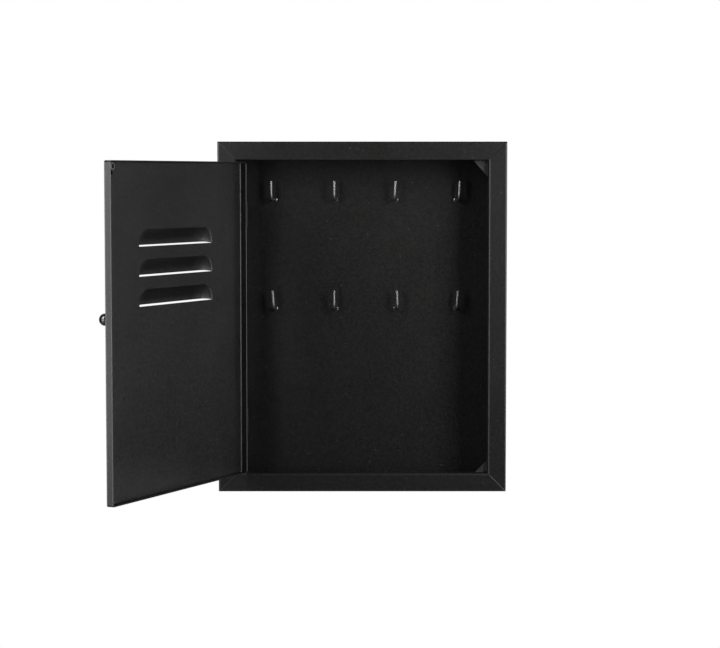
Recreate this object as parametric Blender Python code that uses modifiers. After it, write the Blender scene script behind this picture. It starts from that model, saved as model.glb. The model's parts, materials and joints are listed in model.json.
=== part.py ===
"""Wall key cabinet: a mitred sheet-metal casing with key hooks and a louvred, hinged door.

Metres, +Z up, the front faces -Y. The origin is the centre of the back panel's rear face,
which rests on the wall. The door stands open by DOOR_OPEN_DEGREES.
"""

import math

import bmesh
import bpy
import numpy as np
from mathutils import Matrix, Vector

MM = 0.001

# Casing, four mitred rails folded from one section
CASING_WIDTH = 288 * MM
CASING_HEIGHT = 350 * MM
CASING_DEPTH = 60 * MM
CASING_SHEET = 0.9 * MM
FACE_WIDTH = 18.25 * MM
RETURN_DEPTH = 13 * MM
REAR_FLANGE_WIDTH = 6 * MM
FOLD_RADIUS = 0.7 * MM
MITRE_GAP = 0.3 * MM
SEAT_GAP = 0.3 * MM

# Back panel and its keyholes
PANEL_SHEET = 0.8 * MM
PANEL_INSET = 0.6 * MM
KEYHOLE_SPACING = 200 * MM
KEYHOLE_HEAD_RADIUS = 3.5 * MM
KEYHOLE_SLOT_RADIUS = 2 * MM
KEYHOLE_RISE = 5 * MM
KEYHOLE_FLANGE_MARGIN = 0.8 * MM

# Gussets, which stop the door
GUSSET_TOP_WIDTH = 14 * MM
GUSSET_TOP_HEIGHT = 16 * MM
GUSSET_BOTTOM_WIDTH = 11.1 * MM
GUSSET_BOTTOM_HEIGHT = 11.1 * MM
GUSSET_SHEET = 1 * MM
GUSSET_TIP = 0.8 * MM
DOOR_STOP_GAP = 0.4 * MM

# Key hooks, in two rows
HOOK_WIRE_RADIUS = 1.4 * MM
HOOK_REACH = 12 * MM
HOOK_HEIGHT = 20 * MM
HOOK_BEND_RADIUS = 5.5 * MM
HOOK_COLUMN_SPACING = 61.6 * MM
HOOK_ROW_SPACING = 111.6 * MM
HOOK_COLUMNS_SHIFT = 3.6 * MM
HOOK_TOP_ROW_DROP = 58.2 * MM
HOOK_WELD_RADIUS = 2.5 * MM
HOOK_WELD_HEIGHT = 1.7 * MM
# Yaw to the left and lean to the right of each hook, in degrees, row by row: hand-set hooks differ
HOOK_TURNS = (
    ((19.0, 0.0), (6.5, 0.0), (9.0, 4.0), (-10.5, 2.8)),
    ((6.9, -4.2), (7.5, 0.0), (-7.6, -2.4), (-0.2, 4.1)),
)

# Door, a folded pan
DOOR_SHEET = 0.9 * MM
DOOR_PAN_DEPTH = 7.3 * MM
DOOR_RECESS = 0.8 * MM
DOOR_HINGE_GAP = 3 * MM
DOOR_FREE_GAP = 1.5 * MM
DOOR_END_GAP = 1.9 * MM
DOOR_CORNER_RELIEF = 1.6 * MM
DOOR_OPEN_DEGREES = 116.0

# Louvres, pressed outwards above their slits
LOUVRE_COUNT = 3
LOUVRE_LENGTH = 131.4 * MM
LOUVRE_HEIGHT = 14.7 * MM
LOUVRE_CORNER = 15 * MM
LOUVRE_PROUD = 6 * MM
LOUVRE_PITCH = 27.5 * MM
LOUVRE_FIRST_DROP = 78.3 * MM
LOUVRE_SLIT = 1.4 * MM

# Hinges, each of two welded leaves and a pin
HINGE_LENGTH = 24 * MM
HINGE_END_DISTANCE = 51.85 * MM
HINGE_LEAF_SHEET = 0.9 * MM
HINGE_BARREL_RADIUS = 3 * MM
HINGE_PIN_RADIUS = 1.5 * MM
HINGE_PIN_CLEARANCE = 0.25 * MM
HINGE_PIN_HEAD_RADIUS = 2.3 * MM
HINGE_PIN_HEAD_HEIGHT = 0.8 * MM
HINGE_KNUCKLE_GAP = 0.4 * MM
HINGE_TAB_RELIEF = 0.2 * MM
FRAME_LEAF_DEPTH = 10.5 * MM
DOOR_LEAF_OVERHANG = 0.8 * MM

# Knob and its screw
KNOB_RADIUS = 5.7 * MM
KNOB_CENTRE_HEIGHT = 4.2 * MM
KNOB_NECK_RADIUS = 4.4 * MM
KNOB_EDGE_DISTANCE = 7.6 * MM
KNOB_RISE = 12.8 * MM
KNOB_BORE_DEPTH = 6 * MM
SCREW_RADIUS = 1.5 * MM
SCREW_CLEARANCE = 0.3 * MM
SCREW_HEAD_RADIUS = 2.4 * MM
SCREW_HEAD_HEIGHT = 1.2 * MM
SCREW_RECESS_RADIUS = 0.7 * MM
SCREW_RECESS_DEPTH = 0.7 * MM

# Magnetic catch and bumper in the door's top free corner
MAGNET_RADIUS = 3.1 * MM
MAGNET_CUP_WALL = 0.6 * MM
MAGNET_CORE_CLEARANCE = 0.3 * MM
MAGNET_CORE_RECESS = 0.4 * MM
MAGNET_CORE_HEIGHT = 2.5 * MM
MAGNET_EDGE_DISTANCE = 4.7 * MM
MAGNET_TOP_DISTANCE = 5.4 * MM
CATCH_SETBACK = 0.2 * MM
BUMPER_RADIUS = 1.8 * MM
BUMPER_EDGE_DISTANCE = 3.4 * MM
BUMPER_SPACING = 5.8 * MM

# Modelling values
OVERRUN = 2 * MM
WELD_DISTANCE = 0.002 * MM
SCREW_MERGE = 0.01 * MM
PLATE_BEVEL = 0.15 * MM
FOLD_STEPS = 4
WIRE_BEND_STEPS = 6
WIRE_TIP_STEPS = 3
ROUND_STEPS = 24
KEYHOLE_STEPS = 12
LOUVRE_STEPS = 32

FRONT = -CASING_DEPTH
INNER_LEFT = FACE_WIDTH - CASING_WIDTH / 2
INNER_TOP = CASING_HEIGHT / 2 - FACE_WIDTH
DOOR_WIDTH = CASING_WIDTH - 2 * FACE_WIDTH - DOOR_HINGE_GAP - DOOR_FREE_GAP
DOOR_HEIGHT = CASING_HEIGHT - 2 * FACE_WIDTH - 2 * DOOR_END_GAP
# The hinge axis stands just clear of the casing's face, midway across the hinge gap
AXIS_PROUD = HINGE_BARREL_RADIUS + SEAT_GAP
AXIS = Vector((INNER_LEFT + DOOR_HINGE_GAP / 2, FRONT - AXIS_PROUD, 0))
# In the closed door's own frame, whose origin is on the hinge axis
DOOR_LEFT = DOOR_HINGE_GAP / 2
DOOR_RIGHT = DOOR_LEFT + DOOR_WIDTH
DOOR_OUTER = AXIS_PROUD + DOOR_RECESS
DOOR_INNER = DOOR_OUTER + DOOR_SHEET
DOOR_REAR = DOOR_OUTER + DOOR_PAN_DEPTH


def collection(name):
    """A new collection in the scene."""
    made = bpy.data.collections.new(name)
    bpy.context.scene.collection.children.link(made)
    return made


def material(name, colour, roughness, metallic):
    """A Principled material, made once for each name."""
    found = bpy.data.materials.get(name)
    if found:
        return found
    made = bpy.data.materials.new(name)
    made.use_nodes = True
    shader = made.node_tree.nodes["Principled BSDF"]
    shader.inputs["Base Color"].default_value = (*colour, 1)
    shader.inputs["Roughness"].default_value = roughness
    shader.inputs["Metallic"].default_value = metallic
    return made


def casing_paint():
    return material("casing_powder_coat", (0.018, 0.018, 0.019), 0.55, 0.0)


def panel_paint():
    return material("panel_powder_coat", (0.016, 0.016, 0.017), 0.6, 0.0)


def door_paint():
    return material("door_powder_coat", (0.019, 0.019, 0.02), 0.52, 0.0)


def gusset_paint():
    return material("gusset_powder_coat", (0.03, 0.03, 0.032), 0.45, 0.0)


def hook_paint():
    return material("hook_powder_coat", (0.04, 0.04, 0.042), 0.4, 0.0)


def hinge_paint():
    return material("hinge_powder_coat", (0.03, 0.03, 0.032), 0.45, 0.0)


def pin_steel():
    return material("hinge_pin_steel", (0.25, 0.25, 0.26), 0.35, 1.0)


def knob_lacquer():
    return material("knob_gloss_lacquer", (0.008, 0.008, 0.009), 0.2, 0.0)


def screw_black():
    return material("screw_black_oxide", (0.03, 0.03, 0.032), 0.4, 1.0)


def cup_nickel():
    return material("magnet_cup_nickel", (0.5, 0.5, 0.5), 0.3, 1.0)


def core_ferrite():
    return material("magnet_core_ferrite", (0.02, 0.02, 0.022), 0.6, 0.0)


def bumper_rubber():
    return material("bumper_rubber", (0.006, 0.006, 0.006), 0.8, 0.0)


def add_object(name, mesh, where, paint=None, parent=None):
    """Links a mesh as a named object, painted and on its parent."""
    made = bpy.data.objects.new(name, mesh)
    where.objects.link(made)
    if paint:
        mesh.materials.append(paint)
    made.parent = parent
    return made


def add_cutter(name, mesh, cutters, parent=None):
    """A helper object that only Booleans see."""
    made = add_object(name, mesh, cutters, parent=parent)
    made.hide_render = True
    made.display_type = "WIRE"
    return made


def boolean(target, other, operation):
    """A live Boolean of one object with another."""
    modifier = target.modifiers.new(f"{operation.lower()} {other.name}", "BOOLEAN")
    modifier.operation = operation
    modifier.solver = "EXACT"
    modifier.object = other


def smooth(mesh):
    """Smooth shading that keeps the folds sharp."""
    mesh.shade_smooth()
    mesh.set_sharp_from_angle(angle=math.radians(35))


def bevelled(target, width):
    """A narrow live bevel on the sharp edges of a flat plate."""
    modifier = target.modifiers.new("edge bevel", "BEVEL")
    modifier.width = width
    modifier.segments = 1
    modifier.limit_method = "ANGLE"


def mesh_of(bm, name):
    """The finished mesh of a bmesh, with its faces turned outwards."""
    bmesh.ops.recalc_face_normals(bm, faces=bm.faces)
    mesh = bpy.data.meshes.new(name)
    bm.to_mesh(mesh)
    bm.free()
    return mesh


def cut_flat(bm, point, direction):
    """Cuts off what lies beyond a plane and closes the cut."""
    everything = bm.verts[:] + bm.edges[:] + bm.faces[:]
    cut = bmesh.ops.bisect_plane(
        bm,
        geom=everything,
        dist=WELD_DISTANCE,
        plane_co=point,
        plane_no=direction,
        clear_outer=True,
    )
    rim = [item for item in cut["geom_cut"] if isinstance(item, bmesh.types.BMEdge)]
    bmesh.ops.edgeloop_fill(bm, edges=rim)


def box(name, low, high):
    """A box between two opposite corners."""
    low, high = Vector(low), Vector(high)
    bm = bmesh.new()
    bmesh.ops.create_cube(bm, size=1)
    bmesh.ops.scale(bm, vec=high - low, verts=bm.verts)
    bmesh.ops.translate(bm, vec=(low + high) / 2, verts=bm.verts)
    return mesh_of(bm, name)


def cylinder_y(name, radius, x, low, high, z):
    """A round bar along Y, between two depths."""
    bm = bmesh.new()
    bmesh.ops.create_cone(
        bm, cap_ends=True, segments=ROUND_STEPS, radius1=radius, radius2=radius, depth=high - low
    )
    bmesh.ops.rotate(bm, matrix=Matrix.Rotation(math.pi / 2, 3, "X"), verts=bm.verts)
    bmesh.ops.translate(bm, vec=(x, (low + high) / 2, z), verts=bm.verts)
    return mesh_of(bm, name)


def arc(centre, radius, start, end, steps):
    """Points on an arc, angles in radians."""
    angles = np.linspace(start, end, steps + 1)
    return [
        Vector((centre[0] + radius * math.cos(a), centre[1] + radius * math.sin(a)))
        for a in angles
    ]


def folded_outline(path, thickness, inside_radius):
    """The closed outline of a folded sheet that lies to the left of a path of straight runs."""
    path = [Vector(point) for point in path]
    near, far = [], []
    for i, corner in enumerate(path):
        before = (corner - path[i - 1]).normalized() if i else None
        after = (path[i + 1] - corner).normalized() if i + 1 < len(path) else None
        run = before or after
        left = Vector((-run.y, run.x))
        if before is None or after is None:
            near.append(corner)
            far.append(corner + left * thickness)
            continue
        turn = before.angle_signed(after) * -1
        side = math.copysign(1, turn)
        near_radius = inside_radius + thickness * (side > 0)
        far_radius = inside_radius + thickness * (side < 0)
        centre = corner - before * near_radius * math.tan(abs(turn) / 2) + left * side * near_radius
        for angle in np.linspace(0, turn, FOLD_STEPS + 1):
            spoke = left * side
            spoke.rotate(Matrix.Rotation(angle, 2))
            near.append(centre - spoke * near_radius)
            far.append(centre - spoke * far_radius)
    return near + far[::-1]


def plate(name, outlines, thickness, plane="XY"):
    """A flat outline, with any holes, made thick about its own plane."""
    curve = bpy.data.curves.new(name, "CURVE")
    curve.dimensions = "2D"
    curve.fill_mode = "BOTH"
    curve.extrude = thickness / 2
    for outline in outlines:
        spline = curve.splines.new("POLY")
        spline.points.add(len(outline) - 1)
        for point, place in zip(spline.points, outline):
            point.co = (place[0], place[1], 0, 1)
        spline.use_cyclic_u = True
    mesh = mesh_from_curve(name, curve)
    first, second = (Vector("XYZ"[i] == letter for i in range(3)) for letter in plane)
    turned_to = Matrix((first, second, first.cross(second))).transposed().to_4x4()
    mesh.transform(turned_to)
    return mesh


def mesh_from_curve(name, curve):
    """The welded mesh of a curve, which is then removed."""
    guide = bpy.data.objects.new(name, curve)
    bpy.context.scene.collection.objects.link(guide)
    graph = bpy.context.evaluated_depsgraph_get()
    mesh = bpy.data.meshes.new_from_object(guide.evaluated_get(graph))
    bpy.data.objects.remove(guide)
    bpy.data.curves.remove(curve)
    bm = bmesh.new()
    bm.from_mesh(mesh)
    bpy.data.meshes.remove(mesh)
    bmesh.ops.remove_doubles(bm, verts=bm.verts, dist=WELD_DISTANCE)
    return mesh_of(bm, name)


def turned(name, profile, where, paint, parent=None):
    """A turned piece about its own Z: the profile runs down its outer side, top to bottom."""
    mesh = bpy.data.meshes.new(name)
    points = [(radius, 0, height) for radius, height in profile]
    mesh.from_pydata(points, [(i, i + 1) for i in range(len(points) - 1)], [])
    made = add_object(name, mesh, where, paint, parent)
    screw = made.modifiers.new("turning", "SCREW")
    screw.steps = ROUND_STEPS
    screw.render_steps = ROUND_STEPS
    screw.use_merge_vertices = True
    screw.merge_threshold = SCREW_MERGE
    screw.use_smooth_shade = True
    return made


def rail_section():
    """The rail's folded section, x inwards from its outer side and y back from its face."""
    rear = CASING_DEPTH - PANEL_SHEET - SEAT_GAP
    path = (
        (FACE_WIDTH, RETURN_DEPTH),
        (FACE_WIDTH, 0),
        (0, 0),
        (0, rear),
        (REAR_FLANGE_WIDTH, rear),
    )
    # Walked this way round, the sheet lies on the right, so the path is walked back
    return folded_outline(path[::-1], CASING_SHEET, FOLD_RADIUS)


def mitred_rail(name, length, where):
    """One rail of the casing along its own Z, both ends mitred inwards at 45 degrees."""
    mesh = plate(name, [rail_section()], length)
    bm = bmesh.new()
    bm.from_mesh(mesh)
    bpy.data.meshes.remove(mesh)
    for end in (1, -1):
        normal = Vector((1, 0, end)).normalized()
        corner = Vector((0, 0, end * length / 2))
        cut_flat(bm, corner - normal * MITRE_GAP / 2, normal)
    mesh = mesh_of(bm, name)
    smooth(mesh)
    return add_object(name, mesh, where, casing_paint())


def make_casing(where):
    """The four mitred rails, each turned to its own side."""
    half_width, half_height = CASING_WIDTH / 2, CASING_HEIGHT / 2
    sides = (
        ("stile_left", CASING_HEIGHT, (-half_width, FRONT, 0)),
        ("rail_top", CASING_WIDTH, (0, FRONT, half_height)),
        ("stile_right", CASING_HEIGHT, (half_width, FRONT, 0)),
        ("rail_bottom", CASING_WIDTH, (0, FRONT, -half_height)),
    )
    for quarter, (name, length, place) in enumerate(sides):
        rail = mitred_rail(name, length, where)
        rail.location = place
        rail.rotation_euler.y = quarter * math.pi / 2


def keyhole_outline():
    """A round head with a narrower round-ended slot above it."""
    narrow = math.asin(KEYHOLE_SLOT_RADIUS / KEYHOLE_HEAD_RADIUS)
    start, end = math.pi / 2 + narrow, 5 * math.pi / 2 - narrow
    head = arc((0, 0), KEYHOLE_HEAD_RADIUS, start, end, 2 * KEYHOLE_STEPS)
    return head + arc((0, KEYHOLE_RISE), KEYHOLE_SLOT_RADIUS, 0, math.pi, KEYHOLE_STEPS)


def make_back_panel(where, cutters):
    """The flat back, lapped over the rails' rear flanges, with two keyholes under the top one."""
    half_width = CASING_WIDTH / 2 - PANEL_INSET
    half_height = CASING_HEIGHT / 2 - PANEL_INSET
    mesh = box("back_panel", (-half_width, -PANEL_SHEET, -half_height), (half_width, 0, half_height))
    panel = add_object("back_panel", mesh, where, panel_paint())
    flange_edge = CASING_HEIGHT / 2 - REAR_FLANGE_WIDTH
    slot_reach = KEYHOLE_RISE + KEYHOLE_SLOT_RADIUS + KEYHOLE_FLANGE_MARGIN
    for side in (-1, 1):
        name = f"keyhole_cutter_{'left' if side < 0 else 'right'}"
        mesh = plate(name, [keyhole_outline()], PANEL_SHEET + 2 * OVERRUN, "XZ")
        cutter = add_cutter(name, mesh, cutters)
        cutter.location = (side * KEYHOLE_SPACING / 2, -PANEL_SHEET / 2, flange_edge - slot_reach)
        boolean(panel, cutter, "DIFFERENCE")


def make_gussets(where):
    """Corner plates on the closing side, just behind the closed door's folded edge."""
    depth = DOOR_RECESS + DOOR_PAN_DEPTH + DOOR_STOP_GAP + GUSSET_SHEET / 2
    for name, side, width, height in (
        ("gusset_top", 1, GUSSET_TOP_WIDTH, GUSSET_TOP_HEIGHT),
        ("gusset_bottom", -1, GUSSET_BOTTOM_WIDTH, GUSSET_BOTTOM_HEIGHT),
    ):
        slope = ((-width, -GUSSET_TIP), (-GUSSET_TIP, -height))
        outline = ((0, 0), (-width, 0), *slope, (0, -height))
        shape = [(x, side * z) for x, z in outline]
        gusset = add_object(name, plate(name, [shape], GUSSET_SHEET, "XZ"), where, gusset_paint())
        gusset.location = (-INNER_LEFT - SEAT_GAP, FRONT + depth, side * (INNER_TOP - SEAT_GAP))
        bevelled(gusset, PLATE_BEVEL)


def hook_path(yaw, lean):
    """Points and radius shares along a hook: out of its weld, round the bend and up."""
    turn = math.radians(yaw)
    # A turned wire starts further out, so that its end stays inside the weld
    foot = (2 * SEAT_GAP + HOOK_WIRE_RADIUS * abs(math.sin(turn))) / math.cos(turn)
    bend = np.linspace(0, math.pi / 2, WIRE_BEND_STEPS + 1)
    tip = np.linspace(0, math.pi / 2, WIRE_TIP_STEPS + 2)[1:-1]
    dome = HOOK_HEIGHT - HOOK_WIRE_RADIUS
    straight = HOOK_REACH - HOOK_BEND_RADIUS
    out = np.concatenate(
        [[foot], straight + HOOK_BEND_RADIUS * np.sin(bend), np.full(1 + len(tip), HOOK_REACH)]
    )
    rise = np.concatenate(
        [[0], HOOK_BEND_RADIUS * (1 - np.cos(bend)), [dome], dome + HOOK_WIRE_RADIUS * np.sin(tip)]
    )
    shares = np.concatenate([np.ones(len(out) - len(tip)), np.cos(tip)])
    aside = rise * math.tan(math.radians(lean))
    x = aside * math.cos(turn) - out * math.sin(turn)
    y = -out * math.cos(turn) - aside * math.sin(turn)
    return np.stack([x, y, rise], axis=1), shares


def hook_wire(name, yaw, lean):
    """The bent round wire of one hook."""
    curve = bpy.data.curves.new(name, "CURVE")
    curve.dimensions = "3D"
    curve.bevel_depth = HOOK_WIRE_RADIUS
    curve.bevel_resolution = 2
    curve.use_fill_caps = True
    places, shares = hook_path(yaw, lean)
    spline = curve.splines.new("POLY")
    spline.points.add(len(places) - 1)
    for point, place, share in zip(spline.points, places, shares):
        point.co = (*place, 1)
        point.radius = share
    return mesh_from_curve(name, curve)


def weld_collar(name):
    """The weld fillet round a hook's foot."""
    bm = bmesh.new()
    bmesh.ops.create_cone(
        bm,
        cap_ends=True,
        segments=ROUND_STEPS // 2,
        radius1=HOOK_WELD_RADIUS,
        radius2=HOOK_WIRE_RADIUS,
        depth=HOOK_WELD_HEIGHT,
    )
    bmesh.ops.rotate(bm, matrix=Matrix.Rotation(math.pi / 2, 3, "X"), verts=bm.verts)
    bmesh.ops.translate(bm, vec=(0, -SEAT_GAP - HOOK_WELD_HEIGHT / 2, 0), verts=bm.verts)
    return mesh_of(bm, name)


def make_hooks(where, cutters):
    """Two rows of hooks on the back panel."""
    number = 0
    for row, turns in enumerate(HOOK_TURNS):
        height = CASING_HEIGHT / 2 - HOOK_TOP_ROW_DROP - row * HOOK_ROW_SPACING
        for column, (yaw, lean) in enumerate(turns):
            number += 1
            across = HOOK_COLUMNS_SHIFT + (column - (len(turns) - 1) / 2) * HOOK_COLUMN_SPACING
            wire = hook_wire(f"hook_{number}", yaw, lean)
            smooth(wire)
            hook = add_object(f"hook_{number}", wire, where, hook_paint())
            name = f"hook_weld_{number}"
            collar = add_cutter(name, weld_collar(name), cutters)
            for piece in (hook, collar):
                piece.location = (across, -PANEL_SHEET, height)
            boolean(hook, collar, "UNION")


def rounded_pan(name, low, high, radius):
    """A box whose four edges round its outer face, at the lowest y, are rounded."""
    mesh = box(name, low, high)
    bm = bmesh.new()
    bm.from_mesh(mesh)
    bpy.data.meshes.remove(mesh)
    face = min(bm.faces, key=lambda item: item.calc_center_median().y)
    bmesh.ops.bevel(
        bm, geom=list(face.edges), offset=radius, segments=FOLD_STEPS, profile=0.5, affect="EDGES"
    )
    return mesh_of(bm, name)


def louvre_form(name, grown, floor, cut_back):
    """A long ellipsoid, cut flat at its floor and, for the hood, at its middle."""
    bm = bmesh.new()
    bmesh.ops.create_uvsphere(
        bm, u_segments=LOUVRE_STEPS, v_segments=LOUVRE_STEPS // 2, radius=1
    )
    bmesh.ops.rotate(bm, matrix=Matrix.Rotation(math.pi / 2, 3, "Y"), verts=bm.verts)
    middle = {vert for vert in bm.verts if abs(vert.co.x) < 1 / LOUVRE_STEPS}
    size = (LOUVRE_CORNER + grown, LOUVRE_PROUD + grown, LOUVRE_HEIGHT + grown)
    bmesh.ops.scale(bm, vec=size, verts=bm.verts)
    ring = [edge for edge in bm.edges if middle.issuperset(edge.verts)]
    bmesh.ops.split_edges(bm, edges=ring)
    reach = LOUVRE_LENGTH / 2 - LOUVRE_CORNER
    for vert in bm.verts:
        side = sum(face.calc_center_median().x for face in vert.link_faces)
        vert.co.x += math.copysign(reach, side)
    bmesh.ops.bridge_loops(bm, edges=[edge for edge in bm.edges if edge.is_boundary])
    cut_flat(bm, (0, 0, floor), (0, 0, -1))
    if cut_back:
        cut_flat(bm, (0, 0, 0), (0, 1, 0))
    return mesh_of(bm, name)


def add_louvre(pan, number, drop, cutters, pivot):
    """One louvre: a hood joined to the pan, then hollowed out through the sheet."""
    forms = (
        ("louvre_hood", DOOR_SHEET, LOUVRE_SLIT, True, "UNION"),
        ("louvre_hollow", 0, 0, False, "DIFFERENCE"),
    )
    for kind, grown, floor, cut_back, operation in forms:
        name = f"{kind}_{number}"
        form = add_cutter(name, louvre_form(name, grown, floor, cut_back), cutters, pivot)
        middle = (DOOR_OUTER + DOOR_INNER) / 2
        form.location = (DOOR_LEFT + DOOR_WIDTH / 2, middle, DOOR_HEIGHT / 2 - drop)
        boolean(pan, form, operation)


def make_door_pan(where, cutters, pivot):
    """The door sheet, folded back all round, with its louvres and the hole for the knob's screw."""
    half_height = DOOR_HEIGHT / 2
    outer = rounded_pan(
        "door_pan",
        (DOOR_LEFT, DOOR_OUTER, -half_height),
        (DOOR_RIGHT, DOOR_REAR, half_height),
        FOLD_RADIUS + DOOR_SHEET,
    )
    inner = rounded_pan(
        "door_tray",
        (DOOR_LEFT + DOOR_SHEET, DOOR_INNER, DOOR_SHEET - half_height),
        (DOOR_RIGHT - DOOR_SHEET, DOOR_REAR + OVERRUN, half_height - DOOR_SHEET),
        FOLD_RADIUS,
    )
    pan = add_object("door_pan", outer, where, door_paint(), pivot)
    boolean(pan, add_cutter("door_tray", inner, cutters, pivot), "DIFFERENCE")
    for side_x, edge in (("left", DOOR_LEFT), ("right", DOOR_RIGHT)):
        for side_z, end in (("bottom", -half_height), ("top", half_height)):
            name = f"door_relief_{side_z}_{side_x}"
            relief = DOOR_CORNER_RELIEF
            mesh = box(
                name,
                (edge - relief, DOOR_INNER + relief, end - relief),
                (edge + relief, DOOR_REAR + OVERRUN, end + relief),
            )
            boolean(pan, add_cutter(name, mesh, cutters, pivot), "DIFFERENCE")
    for number in range(LOUVRE_COUNT):
        add_louvre(pan, number + 1, LOUVRE_FIRST_DROP + number * LOUVRE_PITCH, cutters, pivot)
    hole = cylinder_y(
        "knob_hole",
        SCREW_RADIUS + SCREW_CLEARANCE,
        DOOR_RIGHT - KNOB_EDGE_DISTANCE,
        DOOR_OUTER - OVERRUN,
        DOOR_INNER + OVERRUN,
        KNOB_RISE,
    )
    boolean(pan, add_cutter("knob_hole", hole, cutters, pivot), "DIFFERENCE")


def knuckle_spans():
    """The lowest and highest z of each of the three knuckles, from the top down."""
    length = (HINGE_LENGTH - 2 * HINGE_KNUCKLE_GAP) / 3
    tops = [HINGE_LENGTH / 2 - i * (length + HINGE_KNUCKLE_GAP) for i in range(3)]
    return [(top - length, top) for top in tops]


def leaf_outline(depth, own):
    """A leaf seen from the side: a plate with a tab into each of its own knuckles."""
    clear = HINGE_BARREL_RADIUS + SEAT_GAP
    root = (HINGE_BARREL_RADIUS + HINGE_PIN_RADIUS + HINGE_PIN_CLEARANCE) / 2
    half = HINGE_LENGTH / 2
    outline = [(depth, -half), (depth, half), (clear, half)]
    for low, high in own:
        low, high = low + HINGE_TAB_RELIEF, high - HINGE_TAB_RELIEF
        outline += [(clear, high), (root, high), (root, low), (clear, low)]
    return outline + [(clear, -half)]


def make_leaf(name, side, depth, own, place, where, cutters, parent=None):
    """One hinge leaf about the hinge axis: side -1 lies on the casing and 1 on the door."""
    middle = side * (DOOR_HINGE_GAP / 2 - SEAT_GAP - HINGE_LEAF_SHEET / 2)
    mesh = plate(name, [leaf_outline(depth, own)], HINGE_LEAF_SHEET, "YZ")
    mesh.transform(Matrix.Translation((middle, 0, 0)))
    leaf = add_object(name, mesh, where, hinge_paint(), parent)
    leaf.location = place
    full_turn = 2 * math.pi * (ROUND_STEPS - 1) / ROUND_STEPS
    bore_radius = HINGE_PIN_RADIUS + HINGE_PIN_CLEARANCE
    rings = [arc((0, 0), HINGE_BARREL_RADIUS, 0, full_turn, ROUND_STEPS - 1)]
    rings.append(arc((0, 0), bore_radius, 0, full_turn, ROUND_STEPS - 1))
    for number, (low, high) in enumerate(own):
        ring_name = f"{name}_knuckle_{number + 1}"
        ring = add_cutter(ring_name, plate(ring_name, rings, high - low), cutters, parent)
        ring.location = Vector(place) + Vector((0, 0, (low + high) / 2))
        boolean(leaf, ring, "UNION")


def pin_profile():
    """A hinge pin with a domed head at each end."""
    shoulder = HINGE_LENGTH / 2 + SEAT_GAP
    crown = shoulder + HINGE_PIN_HEAD_HEIGHT
    waist = HINGE_PIN_HEAD_RADIUS - HINGE_PIN_HEAD_HEIGHT / 2
    upper = [
        (0, crown),
        (waist, crown),
        (HINGE_PIN_HEAD_RADIUS, crown - HINGE_PIN_HEAD_HEIGHT / 2),
        (HINGE_PIN_HEAD_RADIUS, shoulder),
        (HINGE_PIN_RADIUS, shoulder),
    ]
    return upper + [(radius, -height) for radius, height in upper[::-1]]


def make_hinges(where, cutters, pivot):
    """Two butt hinges: a leaf on the casing's return, a leaf on the door's fold, and a pin."""
    spans = knuckle_spans()
    door_depth = DOOR_REAR + DOOR_LEAF_OVERHANG
    frame_depth = AXIS_PROUD + FRAME_LEAF_DEPTH
    upper = DOOR_HEIGHT / 2 - HINGE_END_DISTANCE
    for name, height in (("upper", upper), ("lower", -upper)):
        on_axis = AXIS + Vector((0, 0, height))
        own = (spans[0], spans[2])
        make_leaf(f"hinge_{name}_frame_leaf", -1, frame_depth, own, on_axis, where, cutters)
        on_door = (0, 0, height)
        own = (spans[1],)
        make_leaf(f"hinge_{name}_door_leaf", 1, door_depth, own, on_door, where, cutters, pivot)
        pin = turned(f"hinge_{name}_pin", pin_profile(), where, pin_steel())
        pin.location = on_axis


def knob_profile():
    """A round knob with a short neck, bored for its screw. Heights are from the door's face."""
    dome = np.linspace(math.pi / 2, 0, 8)
    waist = math.acos(KNOB_NECK_RADIUS / KNOB_RADIUS)
    below = np.linspace(0, -waist, 4)[1:]
    angles = np.concatenate([dome, below])
    outside = [
        (KNOB_RADIUS * math.cos(a), KNOB_CENTRE_HEIGHT + KNOB_RADIUS * math.sin(a)) for a in angles
    ]
    bore = SCREW_RADIUS + SCREW_CLEARANCE
    deep = SEAT_GAP + KNOB_BORE_DEPTH
    return outside + [(KNOB_NECK_RADIUS, SEAT_GAP), (bore, SEAT_GAP), (bore, deep), (0, deep)]


def screw_profile():
    """The knob's screw: a pan head with a round recess, and a shank. Heights are from the sheet."""
    shank = DOOR_SHEET + SEAT_GAP + KNOB_BORE_DEPTH - SCREW_CLEARANCE
    top = SEAT_GAP + SCREW_HEAD_HEIGHT
    return [
        (0, top - SCREW_RECESS_DEPTH),
        (SCREW_RECESS_RADIUS, top - SCREW_RECESS_DEPTH),
        (SCREW_RECESS_RADIUS, top),
        (SCREW_HEAD_RADIUS - SCREW_HEAD_HEIGHT / 2, top),
        (SCREW_HEAD_RADIUS, SEAT_GAP + SCREW_HEAD_HEIGHT / 2),
        (SCREW_HEAD_RADIUS, SEAT_GAP),
        (SCREW_RADIUS, SEAT_GAP),
        (SCREW_RADIUS, -shank),
        (0, -shank),
    ]


def make_knob(where, pivot):
    """The knob on the door's outer face and its screw from the inside."""
    across = DOOR_RIGHT - KNOB_EDGE_DISTANCE
    knob = turned("knob", knob_profile(), where, knob_lacquer(), pivot)
    knob.location = (across, DOOR_OUTER, KNOB_RISE)
    knob.rotation_euler.x = math.pi / 2
    screw = turned("knob_screw", screw_profile(), where, screw_black(), pivot)
    screw.location = (across, DOOR_INNER, KNOB_RISE)
    screw.rotation_euler.x = -math.pi / 2


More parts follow.
